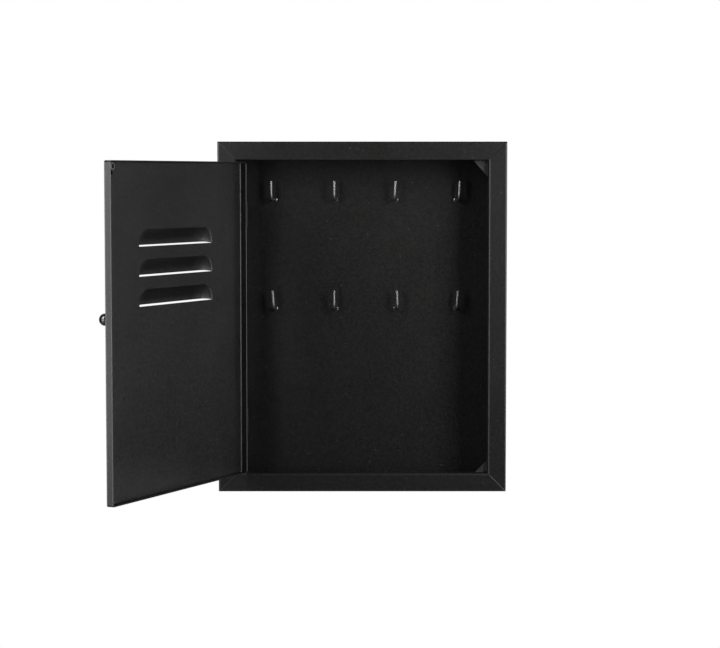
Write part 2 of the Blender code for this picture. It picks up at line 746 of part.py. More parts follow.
def make_catch(where, pivot):
    """The cup magnet that grips the top gusset, and a rubber bumper below it."""
    height = DOOR_REAR - CATCH_SETBACK - DOOR_INNER
    bore = MAGNET_RADIUS - MAGNET_CUP_WALL
    core_top = height - MAGNET_CORE_RECESS
    core_base = core_top - MAGNET_CORE_HEIGHT
    cup_floor = core_base - SEAT_GAP
    cup = [
        (0, cup_floor),
        (bore, cup_floor),
        (bore, height),
        (MAGNET_RADIUS - MAGNET_CUP_WALL / 2, height),
        (MAGNET_RADIUS, height - MAGNET_CUP_WALL / 2),
        (MAGNET_RADIUS, SEAT_GAP),
        (0, SEAT_GAP),
    ]
    core_radius = bore - MAGNET_CORE_CLEARANCE
    core = [(0, core_top), (core_radius, core_top), (core_radius, core_base), (0, core_base)]
    bumper = [
        (0, height),
        (BUMPER_RADIUS / 2, height),
        (BUMPER_RADIUS, height - BUMPER_RADIUS / 2),
        (BUMPER_RADIUS, SEAT_GAP),
        (0, SEAT_GAP),
    ]
    magnet_x = DOOR_RIGHT - MAGNET_EDGE_DISTANCE
    magnet_z = DOOR_HEIGHT / 2 - MAGNET_TOP_DISTANCE
    bumper_x = DOOR_RIGHT - BUMPER_EDGE_DISTANCE
    pieces = (
        ("magnet_cup", cup, cup_nickel(), magnet_x, magnet_z),
        ("magnet_core", core, core_ferrite(), magnet_x, magnet_z),
        ("door_bumper", bumper, bumper_rubber(), bumper_x, magnet_z - BUMPER_SPACING),
    )
    for name, profile, finish, across, up in pieces:
        piece = turned(name, profile, where, finish, pivot)
        piece.location = (across, DOOR_INNER, up)
        piece.rotation_euler.x = -math.pi / 2


def main():
    for obj in list(bpy.data.objects):
        bpy.data.objects.remove(obj)
    parts = collection("key_cabinet")
    cutters = collection("key_cabinet_cutters")
    pivot = bpy.data.objects.new("door_pivot", None)
    parts.objects.link(pivot)
    pivot.location = AXIS
    pivot.rotation_euler.z = -math.radians(DOOR_OPEN_DEGREES)
    make_casing(parts)
    make_back_panel(parts, cutters)
    make_gussets(parts)
    make_hooks(parts, cutters)
    make_door_pan(parts, cutters, pivot)
    make_hinges(parts, cutters, pivot)
    make_knob(parts, pivot)
    make_catch(parts, pivot)


main()
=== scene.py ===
"""Looks of the key cabinet: finer pieces, finishes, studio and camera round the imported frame.

Metres, +Z up, the front faces -Y. Pieces of the door are worked out in the closed door's own
frame, whose origin is on the hinge axis, and are then turned to the photographed opening.
"""

import json
import math

import bmesh
import bpy
import numpy as np
from bpy.props import FloatProperty, FloatVectorProperty, IntProperty, PointerProperty
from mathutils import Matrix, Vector


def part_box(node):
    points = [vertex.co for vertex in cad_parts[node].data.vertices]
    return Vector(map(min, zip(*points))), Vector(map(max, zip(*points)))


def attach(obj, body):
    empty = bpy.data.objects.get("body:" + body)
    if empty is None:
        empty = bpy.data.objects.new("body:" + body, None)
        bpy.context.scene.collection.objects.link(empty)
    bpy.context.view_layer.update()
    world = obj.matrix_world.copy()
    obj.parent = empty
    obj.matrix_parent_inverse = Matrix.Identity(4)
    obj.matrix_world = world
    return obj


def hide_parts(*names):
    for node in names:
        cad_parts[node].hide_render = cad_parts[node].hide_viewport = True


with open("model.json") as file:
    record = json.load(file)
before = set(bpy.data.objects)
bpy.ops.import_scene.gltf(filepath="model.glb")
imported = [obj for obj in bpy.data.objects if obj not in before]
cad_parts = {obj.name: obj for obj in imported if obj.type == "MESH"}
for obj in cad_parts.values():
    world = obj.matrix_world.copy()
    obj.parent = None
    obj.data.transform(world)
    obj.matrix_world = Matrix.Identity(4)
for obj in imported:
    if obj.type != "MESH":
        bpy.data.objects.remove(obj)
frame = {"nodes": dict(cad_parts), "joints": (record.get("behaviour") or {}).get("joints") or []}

bl_info = {
    "name": "Key cabinet",
    "version": (1, 0, 0),
    "blender": (4, 5, 0),
    "location": "3D View > Sidebar > Key Cabinet",
    "description": "Builds the visible pieces, finishes and studio of a wall key cabinet",
    "category": "Object",
}

MM = 0.001
BLACK = (0.0, 0.0, 0.0, 1.0)
WHITE = (1.0, 1.0, 1.0, 1.0)

DOOR_JOINT = frame["joints"][0]
HINGE_AXIS = np.array(DOOR_JOINT["pos_m"], float)
# The joint's lowest angle shuts the door, so its opposite is the photographed opening
DOOR_OPENING = -math.radians(DOOR_JOINT["range_deg"][0])
# Depth of the door's folds. The box of the whole pan counts its hoods too
PAN_DEPTH = 7.3 * MM

# Yaw to the left and lean to the right of each hook, in degrees, row by row
HOOK_TURNS = (
    ((19.0, 0.0), (6.5, 0.0), (9.0, 4.0), (-10.5, 2.8)),
    ((6.9, -4.2), (7.5, 0.0), (-7.6, -2.4), (-0.2, 4.1)),
)

# Share of painted highlight at the two ends and on the inner fold of each rail: left, top, right
# and bottom, lighter as if seams and fold caught the lamps. A rail's lower end meets the rail
# before it, and its upper end the one after it. Below zero it is painted shade, darker as if in
# shadow, instead.
RAIL_SHARES = ((-0.3, -0.8, -0.9), (0.7, 0.1, 0.0), (-0.1, 1.0, 0.12), (1.0, 0.5, 0.03))
# The same painted highlight on the door's upright folds and on the cut edges of its hinge side and
# of its free side, and painted shade on its level folds and in a hood's crown
DOOR_FOLD_SHARE = 0.6
DOOR_EDGE_SHARE = 0.75
DOOR_FREE_EDGE_SHARE = 0.5
DOOR_LEVEL_SHARE = -1.0
HOOD_CROWN_SHARE = -0.5
# Share of a hood's height where the painted shade in its crown starts, and the share over which it
# deepens
CROWN_START = 0.105
CROWN_FADE = 0.35
# Share of matt coat on the casing's outer sides, in a hood's end next to the hinges, and on the
# door's free side, and the share of a hood's taper over which its end gets matt
SIDE_MATT = 0.5
HOOD_END_MATT = 0.22
FREE_SIDE_MATT = 0.2
HOOD_END_FADE = 0.25

# Powder coat: slow clouds and fine grain to the metre, the clouds' share of the mottling, the
# roughness that mottling and matt coat add, and a fleck's inner share and height
CLOUDS_PER_METRE = 14
GRAINS_PER_METRE = 420
CLOUD_SHARE = 0.35
MOTTLED_ROUGHNESS = 0.08
MATT_ROUGHNESS = 0.6
FLECK_CORE = 0.5
FLECK_HEIGHT = 0.6
# Metal: slow tarnish and fine grain to the metre, the grain's depth, and the roughness that
# tarnish adds
TARNISH_PER_METRE = 160
METAL_GRAINS_PER_METRE = 2500.0
METAL_GRAIN_DEPTH = 0.01 * MM
TARNISH_ROUGHNESS = 0.5

# Hood: the power of its round crown, the shares of its outline where its flank turns and where
# it lands on the sheet, the power and share of its taper, and the share of a rounded end's fall
# that the depth makes up for
HOOD_FULLNESS = 0.9
HOOD_FLANK = 0.96
HOOD_LANDING = 1.012
TAPER_POWER = 5
TAPER_SHARE = 0.98
END_SHARE = 0.97
# How far a weld runs up its wire, in heights of the weld
WELD_SPREAD = 1.5

# Photograph's camera
CAMERA_PLACE = (-2.3 * MM, -2163.4 * MM, 140.4 * MM)
CAMERA_PITCH_DEGREES = 86.006
CAMERA_LENS_MM = 105.65
CAMERA_SENSOR_MM = 36

# Modelling values: the distance within which points merge, and the angles above which an edge is
# sharp, is bevelled, and isn't flat
MERGE_DISTANCE = 0.0005 * MM
SMOOTH_DEGREES = 40
BEVEL_DEGREES = 50
FLAT_DEGREES = 1
# Steps of folds and rounds, the domed share of a pin's head, how nearly an angle is right, the
# flat beside a fold, and the share of a sheet's thickness that still counts as its outer skin
FOLD_STEPS = 10
ROUND_STEPS = 48
PIN_STEPS = 8
KNOB_STEPS = 24
WIRE_STEPS = 24
PIN_DOME_DEGREES = 80
ANGLE_TOLERANCE = 1e-6
BESIDE = 0.3 * MM
SKIN_SHARE = 0.1
# Grid of the door: its steps, the digits that places are rounded to, and doubles to drop
FINE = 0.5 * MM
COARSE = 6 * MM
PLACE_DIGITS = 7
NEAR_DOUBLE = 0.05 * MM
# How far its fine steps reach past the hoods, and past their rounded ends and tapers
PAST_HOOD = 1.05
PAST_TAPER = 1.1
# Shares of a hood's height between which its steps are finest
CROWN_LINE = 0.8
LANDING_LINE = 1.08
# Half the square round the knob's hole, in radii of the hole, and how nearly a point lies on it
KNOB_SQUARE = 2
SQUARE_TOLERANCE = 0.01


def node_points(name):
    """All vertices of a CAD node, as an array."""
    mesh = frame["nodes"][name].data
    points = np.empty(len(mesh.vertices) * 3, np.float32)
    mesh.vertices.foreach_get("co", points)
    return points.reshape(-1, 3).astype(float)


def box_of(*names):
    """Lowest and highest corner of some CAD nodes together."""
    points = np.concatenate([node_points(name) for name in names])
    return points.min(0), points.max(0)


def turned(points, angle, axes=(0, 1)):
    """Points turned in the plane of two axes: the first coordinate becomes first * cos(angle)
    - second * sin(angle), and the second first * sin(angle) + second * cos(angle)."""
    c, s = math.cos(angle), math.sin(angle)
    matrix = np.eye(3)
    matrix[np.ix_(axes, axes)] = (c, s), (-s, c)
    return points @ matrix


def to_closed_door(points):
    """Points of the open door in the closed door's own frame."""
    return turned(np.asarray(points, float) - HINGE_AXIS, DOOR_OPENING)


def to_open_door(points):
    """Points of the closed door's own frame at the photographed opening."""
    return turned(np.asarray(points, float), -DOOR_OPENING) + HINGE_AXIS


def door_box(name):
    """Lowest and highest corner of a door node in the closed door's own frame."""
    points = to_closed_door(node_points(name))
    return points.min(0), points.max(0)


CASING_LOW, CASING_HIGH = box_of("stile_left", "stile_right", "rail_top", "rail_bottom")
RAIL_LOW, RAIL_HIGH = box_of("rail_top")
PAN_LOW, PAN_HIGH = door_box("door_pan")
PAN_MIDDLE = (PAN_LOW + PAN_HIGH) / 2
PAN_OUTER = PAN_HIGH[1] - PAN_DEPTH
KNOB_LOW, KNOB_HIGH = door_box("knob")
KNOB_MIDDLE = (KNOB_LOW + KNOB_HIGH) / 2


def length(name, description, default):
    """A length that a user may change."""
    return FloatProperty(
        name=name, description=description, default=default, min=0, precision=5,
        subtype="DISTANCE", unit="LENGTH",
    )


def colour(name, description, default):
    """A linear colour that a user may change."""
    return FloatVectorProperty(
        name=name, description=description, default=default, min=0, max=1, subtype="COLOR",
    )


def share(name, description, default, high=1.0):
    """A plain share or factor that a user may change."""
    return FloatProperty(
        name=name, description=description, default=default, min=0, max=high, subtype="FACTOR",
    )


class KEYCABINET_PG_sizes(bpy.types.PropertyGroup):
    """Sizes of the visible pieces."""

    casing_sheet: length("Casing sheet", "Thickness of the casing's sheet", 0.9 * MM)
    return_depth: length("Return depth", "Depth of the rail's inner return", 13 * MM)
    rear_flange: length("Rear flange", "Width of the rail's rear flange", 6 * MM)
    fold_radius: length("Fold radius", "Inside radius of every fold", 0.7 * MM)
    seam_width: length("Seam width", "Width of a mitre's dressed edge", 0.45 * MM)
    mitre_gap: length("Mitre gap", "Gap between two mitred rails", 0.3 * MM)
    cut_round: length("Cut edge round", "Rounding of a cut edge under its coat", 0.22 * MM)
    door_sheet: length("Door sheet", "Thickness of the door's sheet", 0.9 * MM)
    louvre_length: length("Louvre length", "Length of a louvre over its ends", 133.2 * MM)
    louvre_height: length("Louvre height", "Height of a louvre's hood", 15.6 * MM)
    louvre_corner: length("Louvre corner", "Length of a hood's rounded end", 15.9 * MM)
    louvre_taper: length("Louvre taper", "Length over which a hood's end gets shallow", 28.6 * MM)
    louvre_proud: length("Louvre projection", "How far a hood stands out", 6.45 * MM)
    louvre_pitch: length("Louvre pitch", "From one louvre to the next", 27.5 * MM)
    louvre_drop: length("First louvre drop", "From the door's top to the first slit", 78.3 * MM)
    louvre_slit: length("Louvre slit", "Opening below the drawn-up lip", 1.15 * MM)
    louvre_count: IntProperty(
        name="Louvres", description="How many louvres the door has", default=3, min=0, max=8
    )
    wire_radius: length("Hook wire radius", "Radius of the hooks' wire", 1.4 * MM)
    hook_reach: length("Hook reach", "From the panel to the prong's centre", 12 * MM)
    hook_height: length("Hook height", "From the foot's centre to the prong's tip", 20 * MM)
    hook_bend: length("Hook bend", "Radius of the bend at the wire's centre", 5.5 * MM)
    weld_radius: length("Weld radius", "Radius of the weld round a hook's foot", 2.5 * MM)
    weld_height: length("Weld height", "Height of the weld round a hook's foot", 1.7 * MM)
    pin_radius: length("Pin radius", "Radius of a hinge pin's shank", 1.5 * MM)
    pin_head: length("Pin head", "Height of a hinge pin's head", 0.8 * MM)
    knob_hole: length("Knob hole radius", "Radius of the door's hole for the screw", 1.8 * MM)
    knob_neck: length("Knob neck radius", "Radius of the knob next to the door", 4.4 * MM)
    knob_chamfer: length("Knob chamfer", "Broken edge of the knob's neck", 0.25 * MM)
    knob_bore: length("Knob bore radius", "Radius of the knob's bore", 1.8 * MM)
    knob_bore_depth: length("Knob bore depth", "Depth of the knob's bore", 6 * MM)
    gusset_round: length("Gusset round", "Rounding of a gusset's edge", 0.44 * MM)
    leaf_round: length("Hinge leaf round", "Rounding of a hinge leaf's edge", 0.132 * MM)
    screw_round: length("Screw round", "Rounding of the screw's edges", 0.1 * MM)
    catch_round: length("Catch round", "Rounding of the magnet and the bumper", 0.12 * MM)


class KEYCABINET_PG_finishes(bpy.types.PropertyGroup):
    """Colours and surfaces of the finishes."""

    casing: colour("Casing", "Colour of the casing's powder coat", (0.0124, 0.0118, 0.0115))
    panel: colour("Panel", "Colour of the back panel's powder coat", (0.0124, 0.0118, 0.0115))
    door: colour("Door", "Colour of the door's powder coat", (0.0124, 0.0118, 0.0115))
    # The gussets' colour is lighter than the rest of the black coat, a painted highlight that
    # stands in for the light they catch
    gusset: colour("Gussets", "Colour of the gussets' powder coat", (0.034, 0.033, 0.0325))
    small_parts: colour("Small parts", "Colour of hooks and hinges", (0.0146, 0.014, 0.0138))
    # This colour is a painted highlight, laid on folds, seams and cut edges where they would catch
    # the lamps
    bend: colour("Highlight", "Colour of the coat where it is thin on bends", (0.16, 0.156, 0.155))
    fleck: colour("Fleck", "Colour of the coat's light flecks", (0.13, 0.13, 0.13))
    lacquer: colour("Knob lacquer", "Colour of the knob's lacquer", (0.005, 0.005, 0.0055))
    steel: colour("Steel", "Colour of the hinge pins", (0.25, 0.25, 0.26))
    oxide: colour("Black oxide", "Colour of the knob's screw", (0.03, 0.03, 0.032))
    nickel: colour("Nickel", "Colour of the magnet's cup", (0.42, 0.42, 0.42))
    ferrite: colour("Ferrite", "Colour of the magnet's core", (0.006, 0.006, 0.0065))
    rubber: colour("Rubber", "Colour of the bumper", (0.002, 0.002, 0.002))
    coat_roughness: share("Coat roughness", "Roughness of the powder coat", 0.3)
    coat_gloss: share("Coat gloss", "Specular level of the powder coat", 0.45)
    fleck_size: length("Fleck size", "Radius of a light fleck", 0.42 * MM)
    fleck_spacing: length("Fleck spacing", "Size of the cells that flecks lie in", 8 * MM)
    peel_size: length("Peel size", "Size of the coat's orange peel", 1.1 * MM)
    peel_depth: length("Peel depth", "Depth of the coat's orange peel", 0.02 * MM)


class KEYCABINET_PG_studio(bpy.types.PropertyGroup):
    """Floor, background and lamps."""

    floor_drop: length("Floor drop", "From the casing's underside down to the floor", 900 * MM)
    floor_side: length("Floor side", "Side of the square floor", 3400 * MM)
    floor_colour: colour("Floor", "Colour of the floor", (0.8, 0.8, 0.8))
    floor_glow: share("Floor glow", "White added under the cabinet for rays that see it", 0.5)
    mirrored_glow: share("Mirrored glow", "White under the cabinet for mirrored rays", 0.06)
    lamp_distance: length("Lamp distance", "From the cabinet to a lamp", 800 * MM)
    fill: share("Fill", "Strength of the soft light from all round", 0.0, 4)


def wall_grid(rows, columns, wrap=False):
    """Corner numbers of the quads of a grid of points: each quad joins two neighbours of a row to
    the two beside them in the next row. A wrapped grid joins its last column to its first."""
    number = np.arange(rows * columns).reshape(rows, columns)
    if wrap:
        number = np.hstack([number, number[:, :1]])
    corners = (number[:-1, :-1], number[:-1, 1:], number[1:, 1:], number[1:, :-1])
    return np.stack(corners, axis=-1).reshape(-1, 4)


def rounded_path(corners, radius):
    """Straight runs joined by arcs, the unit normal on their left, and the number of the corner
    that each point rounds, or zero.

    An arc starts radius * tan(half the turn) before its corner, and its points are the arc's
    centre less the spoke, turned step by step. A point beside either end keeps the run flat."""
    corners = np.asarray(corners, float)
    runs = np.diff(corners, axis=0)
    runs /= np.linalg.norm(runs, axis=1)[:, None]
    lefts = np.stack([-runs[:, 1], runs[:, 0]], axis=1)
    points, normals, rounds = [corners[:1]], [lefts[:1]], [[0]]
    for number, corner in enumerate(corners[1:-1], start=1):
        before, after, left = runs[number - 1], runs[number], lefts[number - 1]
        turn = math.atan2(before[0] * after[1] - before[1] * after[0], before @ after)
        side = math.copysign(1, turn)
        centre = corner - before * radius * math.tan(abs(turn) / 2) + left * side * radius
        angles = np.linspace(0, turn, FOLD_STEPS + 1)
        c, s = np.cos(angles), np.sin(angles)
        spokes = np.stack([left[0] * c - left[1] * s, left[0] * s + left[1] * c], axis=1)
        arc = centre - spokes * side * radius
        points += [arc[:1] - before * BESIDE, arc, arc[-1:] + after * BESIDE]
        normals += [spokes[:1], spokes, spokes[-1:]]
        rounds += [[0], [number] * len(arc), [0]]
    points.append(corners[-1:])
    normals.append(lefts[-1:])
    rounds.append([0])
    return np.concatenate(points), np.concatenate(normals), np.concatenate(rounds)


def turned_surface(profile):
    """A profile of radius and height turned about Z: x and y are the radius times the cosine and
    sine of the turn, and z is the height."""
    profile = np.asarray(profile, float)
    turn = np.arange(ROUND_STEPS) * 2 * math.pi / ROUND_STEPS
    x = profile[:, :1] * np.cos(turn)
    y = profile[:, :1] * np.sin(turn)
    z = np.repeat(profile[:, 1:], ROUND_STEPS, axis=1)
    points = np.stack([x, y, z], axis=-1).reshape(-1, 3)
    return points, wall_grid(len(profile), ROUND_STEPS, wrap=True)


def arc_points(centre, radius, start, end, steps):
    """Points of an arc, angles in degrees: centre + radius * (cosine, sine)."""
    angles = np.radians(np.linspace(start, end, steps + 1))
    return centre + radius * np.stack([np.cos(angles), np.sin(angles)], axis=1)


def merged(mesh):
    """The form of a mesh to edit, with its doubled points merged."""
    bm = bmesh.new()
    bm.from_mesh(mesh)
    bmesh.ops.remove_doubles(bm, verts=bm.verts, dist=MERGE_DISTANCE)
    return bm


def smoothed(mesh, bm):
    """Writes an edited form back to its mesh, smooth but for its sharp edges."""
    bm.to_mesh(mesh)
    bm.free()
    mesh.shade_smooth()
    mesh.set_sharp_from_angle(angle=math.radians(SMOOTH_DEGREES))
    return mesh


def to_mesh(name, points, faces, closed=True, **shares):
    """A mesh whose doubled points are merged; a closed one has its faces turned outwards. The
    coat reads the shares given for its points as attributes."""
    mesh = bpy.data.meshes.new(name)
    mesh.from_pydata(np.asarray(points), [], [list(face) for face in faces])
    for share_name, values in shares.items():
        attribute = mesh.attributes.new(share_name, "FLOAT", "POINT")
        attribute.data.foreach_set("value", np.asarray(values, np.float32).ravel())
    bm = merged(mesh)
    bmesh.ops.dissolve_degenerate(bm, edges=bm.edges, dist=MERGE_DISTANCE)
    loose = [vertex for vertex in bm.verts if not vertex.link_faces]
    bmesh.ops.delete(bm, geom=loose, context="VERTS")
    if closed:
        bmesh.ops.recalc_face_normals(bm, faces=bm.faces)
    return smoothed(mesh, bm)


def merged_copy(node, name):
    """The mesh of a CAD node, copied, with its loose triangles joined."""
    mesh = frame["nodes"][node].data.copy()
    mesh.name = name
    if "custom_normal" in mesh.attributes:
        mesh.attributes.remove(mesh.attributes["custom_normal"])
    bm = merged(mesh)
    flat = math.radians(FLAT_DEGREES)
    bmesh.ops.dissolve_limit(bm, angle_limit=flat, verts=bm.verts, edges=bm.edges)
    return smoothed(mesh, bm)


def add_piece(mesh, finish, body, *nodes):
    """Links a piece, named as its mesh, that rides on a body and stands for CAD nodes, with its
    finish and slot."""
    piece = bpy.data.objects.new(mesh.name, mesh)
    bpy.context.scene.collection.objects.link(piece)
    mesh.materials.clear()
    mesh.materials.append(finish)
    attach(piece, body)
    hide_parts(*nodes)
    return piece


def round_edges(piece, width, segments=2):
    """A live bevel that rounds the cut edges of a sheet."""
    bevel = piece.modifiers.new("cut edges", "BEVEL")
    bevel.width = width
    bevel.segments = segments
    bevel.limit_method = "ANGLE"
    bevel.angle_limit = math.radians(BEVEL_DEGREES)
    bevel.harden_normals = True


def add_copied_piece(node, suffix, finish, body, width, segments=2):
    """A piece with the form of its CAD node and rounded edges."""
    piece = add_piece(merged_copy(node, node + suffix), finish, body, node)
    round_edges(piece, width, segments)


def add_node(tree, kind, inputs=None, **settings):
    """A node with its settings, and its inputs as values or as links from other sockets."""
    node = tree.nodes.new(kind)
    for key, value in settings.items():
        setattr(node, key, value)
    for key, value in (inputs or {}).items():
        if isinstance(value, bpy.types.NodeSocket):
            tree.links.new(value, node.inputs[key])
        else:
            node.inputs[key].default_value = value
    return node


def math_node(tree, operation, *values):
    """The result of one arithmetic step."""
    inputs = dict(enumerate(values))
    return add_node(tree, "ShaderNodeMath", inputs, operation=operation).outputs[0]


def vector_node(tree, operation, inputs):
    """The outputs of one step with vectors."""
    return add_node(tree, "ShaderNodeVectorMath", inputs, operation=operation).outputs


def noise(tree, place, scale, detail, roughness=0.5):
    """Noise from 0 to 1 at a place."""
    inputs = {"Vector": place, "Scale": scale, "Detail": detail, "Roughness": roughness}
    return add_node(tree, "ShaderNodeTexNoise", inputs).outputs["Fac"]


def scaled(tree, tint, factor):
    """A colour times a factor."""
    return vector_node(tree, "SCALE", {0: tint, "Scale": factor})["Vector"]


def blended(tree, factor, first, second):
    """The first colour at factor 0, and the second at factor 1."""
    inputs = {"Factor": factor, 6: first, 7: second}
    return add_node(tree, "ShaderNodeMix", inputs, data_type="RGBA").outputs[2]


def ranged(tree, value, start, end, low=0.0, high=1.0, kind="SMOOTHSTEP"):
    """Low where a value is at its start, high at its end, and in between on the way."""
    inputs = {"Value": value, "From Min": start, "From Max": end, "To Min": low, "To Max": high}
    node = add_node(tree, "ShaderNodeMapRange", inputs, interpolation_type=kind)
    return node.outputs["Result"]


def add_socket(group, name, in_out):
    """A group's socket: a colour where its name says so, and otherwise a number."""
    kind = "NodeSocketColor" if "Colour" in name else "NodeSocketFloat"
    return group.interface.new_socket(name, in_out=in_out, socket_type=kind)


def new_group(name, defaults):
    """A shader node group for a finish, what it is given, and the place on the object. It gives
    back a colour, a roughness and a height."""
    group = bpy.data.node_groups.new(name, "ShaderNodeTree")
    for key, default in defaults.items():
        add_socket(group, key, "INPUT").default_value = default
    for key in ("Colour", "Roughness", "Height"):
        add_socket(group, key, "OUTPUT")
    given = add_node(group, "NodeGroupInput").outputs
    return group, given, add_node(group, "ShaderNodeTexCoord").outputs["Object"]


def powder_coat_group():
    """Fine powder coat: mottling of its colour, sparse light flecks and orange peel.

    The colour is scaled by 1 + mottling * (cloud share * cloud + grain), both centred on zero.
    Where the point attribute of painted light is above zero the colour is lifted towards a painted
    highlight colour, and below zero it is darkened as painted shade; the attribute matt adds to
    its roughness."""
    group, given, place = new_group("powder_coat", {
        "Colour": BLACK, "Fleck Colour": BLACK, "Bend Colour": BLACK, "Roughness": 0.5,
        "Fleck Size": 0.001, "Flecks per Metre": 100.0, "Peel per Metre": 1000.0, "Mottling": 0.1,
    })
    cloud = noise(group, place, CLOUDS_PER_METRE, detail=4, roughness=0.6)
    grain = noise(group, place, GRAINS_PER_METRE, detail=2, roughness=0.7)
    peel = noise(group, place, given["Peel per Metre"], detail=2, roughness=0.6)
    cells = add_node(
        group, "ShaderNodeTexVoronoi", {"Vector": place, "Scale": given["Flecks per Metre"]}
    ).outputs["Distance"]
    reach = math_node(group, "MULTIPLY", given["Fleck Size"], given["Flecks per Metre"])
    fleck = ranged(group, cells, reach, math_node(group, "MULTIPLY", reach, FLECK_CORE))
    cloud = math_node(group, "MULTIPLY", math_node(group, "SUBTRACT", cloud, 0.5), CLOUD_SHARE)
    blotch = math_node(group, "ADD", cloud, math_node(group, "SUBTRACT", grain, 0.5))
    shift = math_node(group, "MULTIPLY", blotch, given["Mottling"])
    mottled = scaled(group, given["Colour"], math_node(group, "ADD", shift, 1.0))
    # The attribute carries painted light: above zero a painted highlight, below zero painted shade
    bends = add_node(group, "ShaderNodeAttribute", attribute_name="bends").outputs["Fac"]
    highlight_share = math_node(group, "MAXIMUM", bends, 0.0)
    # Painted shade: the colour is darkened where the share is below zero
    thick = math_node(group, "MAXIMUM", math_node(group, "MULTIPLY", bends, -1.0), 0.0)
    darkened = scaled(group, mottled, math_node(group, "SUBTRACT", 1.0, thick))
    highlighted = blended(group, highlight_share, darkened, given["Bend Colour"])
    matt = add_node(group, "ShaderNodeAttribute", attribute_name="matt").outputs["Fac"]
    matt = math_node(group, "MULTIPLY", matt, MATT_ROUGHNESS)
    rough = math_node(group, "ADD", given["Roughness"], matt)
    rough_shift = math_node(group, "MULTIPLY", blotch, MOTTLED_ROUGHNESS)
    raised = math_node(group, "MULTIPLY", fleck, FLECK_HEIGHT)
    add_node(group, "NodeGroupOutput", {
        "Colour": blended(group, fleck, highlighted, given["Fleck Colour"]),
        "Roughness": math_node(group, "ADD", rough, rough_shift),
        "Height": math_node(group, "ADD", peel, raised),
    })
    return group


def metal_grain_group():
    """Plated or turned metal: fine grain and slow tarnish."""
    group, given, place = new_group("metal_grain", {
        "Colour": BLACK, "Roughness": 0.3, "Grain per Metre": 2000.0, "Tarnish": 0.3,
    })
    slow = noise(group, place, TARNISH_PER_METRE, detail=3)
    dulled = math_node(group, "MULTIPLY", slow, given["Tarnish"])
    rough_shift = math_node(group, "MULTIPLY", dulled, TARNISH_ROUGHNESS)
    add_node(group, "NodeGroupOutput", {
        "Colour": scaled(group, given["Colour"], math_node(group, "SUBTRACT", 1.0, dulled)),
        "Roughness": math_node(group, "ADD", given["Roughness"], rough_shift),
        "Height": noise(group, place, given["Grain per Metre"], detail=3),
    })
    return group


def new_finish(name, group_name, make_group, values, depth, **shader_values):
    """A material whose colour, roughness and bump come from a node group."""
    found = bpy.data.materials.get(name)
    if found and found.get("finish_made"):
        return found
    if found:
        found.name = name + "_cad"
    material = bpy.data.materials.new(name)
    material["finish_made"] = True
    material.use_nodes = True
    tree = material.node_tree
    shader = tree.nodes["Principled BSDF"]
    group = add_node(tree, "ShaderNodeGroup")
    group.node_tree = bpy.data.node_groups.get(group_name) or make_group()
    for key, value in values.items():
        group.inputs[key].default_value = value
    bump = add_node(tree, "ShaderNodeBump", {"Height": group.outputs["Height"], "Distance": depth})
    tree.links.new(group.outputs["Colour"], shader.inputs["Base Color"])
    tree.links.new(group.outputs["Roughness"], shader.inputs["Roughness"])
    tree.links.new(bump.outputs["Normal"], shader.inputs["Normal"])
    for key, value in shader_values.items():
        shader.inputs[key.replace("_", " ")].default_value = value
    return material


def coat(name, tint, mottling=1.5, closer=1.0, **shader_values):
    """A black powder coat in one of the record's slots. Above 1, closer packs its flecks more
    closely."""
    finishes = bpy.context.scene.key_cabinet_finishes
    shader_values.setdefault("Specular_IOR_Level", finishes.coat_gloss)
    return new_finish(
        name, "powder_coat", powder_coat_group,
        {
            "Colour": (*tint, 1),
            "Fleck Colour": (*finishes.fleck, 1),
            "Bend Colour": (*finishes.bend, 1),
            "Roughness": finishes.coat_roughness,
            "Fleck Size": finishes.fleck_size,
            "Flecks per Metre": closer / finishes.fleck_spacing,
            "Peel per Metre": 1 / finishes.peel_size,
            "Mottling": mottling,
        },
        finishes.peel_depth,
        **shader_values,
    )


def metal(name, tint, roughness, tarnish):
    """A bare or plated metal in one of the record's slots."""
    values = {
        "Colour": (*tint, 1),
        "Roughness": roughness,
        "Grain per Metre": METAL_GRAINS_PER_METRE,
        "Tarnish": tarnish,
    }
    return new_finish(
        name, "metal_grain", metal_grain_group, values, METAL_GRAIN_DEPTH, Metallic=1.0
    )


def rail_section(sizes):
    """The rail's closed section: a rounded path, moved out by half the sheet on either side, and
    one at the points of its innermost fold, between the face and the return."""
    half = sizes.casing_sheet / 2
    face = RAIL_HIGH[2] - RAIL_LOW[2]
    rear = CASING_HIGH[1] - CASING_LOW[1]
    corners = (
        (sizes.rear_flange, rear - half),
        (half, rear - half),
        (half, half),
        (face - half, half),
        (face - half, sizes.return_depth),
    )
    path, normals, rounds = rounded_path(corners, sizes.fold_radius + half)
    section = np.concatenate([path + normals * half, (path - normals * half)[::-1]])
    innermost = (rounds == len(corners) - 2).astype(float)
    return section, np.concatenate([innermost, innermost[::-1]])


def mitred_rail(sizes, rail_length, low_seam, high_seam, fold):
    """A section carried along Z. Each of its points ends at half the length, less its distance
    from the outer side and the gap over the root of two, so that both ends are cut at 45 degrees.
    Next to either end a narrow strip bounds the seam.

    Returns points, faces and shares at each point: of painted highlight or painted shade, which is
    given for either seam and for the innermost fold, and of the matt coat on the outer side and
    where shade is painted."""
    section, innermost = rail_section(sizes)
    x, y = section.T
    reach = rail_length / 2 - x - sizes.mitre_gap / math.sqrt(2)
    inner = reach - sizes.seam_width
    heights = np.stack([-reach, -inner, inner, reach])
    points = np.stack(np.broadcast_arrays(x, y, heights), axis=-1)
    count, last = len(x), (len(heights) - 1) * len(x)
    walls = wall_grid(len(heights), count, wrap=True)
    faces = [*walls, range(count), range(last, last + count)[::-1]]
    skin = SKIN_SHARE * sizes.casing_sheet
    ends = np.array((low_seam, 0, 0, high_seam))
    # Painted highlight or painted shade at the seams and on the innermost fold
    bends = ends[:, None] * ((y < skin) & (innermost == 0)) + fold * innermost
    matt = np.maximum(SIDE_MATT * (x < skin), -bends)
    return points.reshape(-1, 3), faces, bends, matt


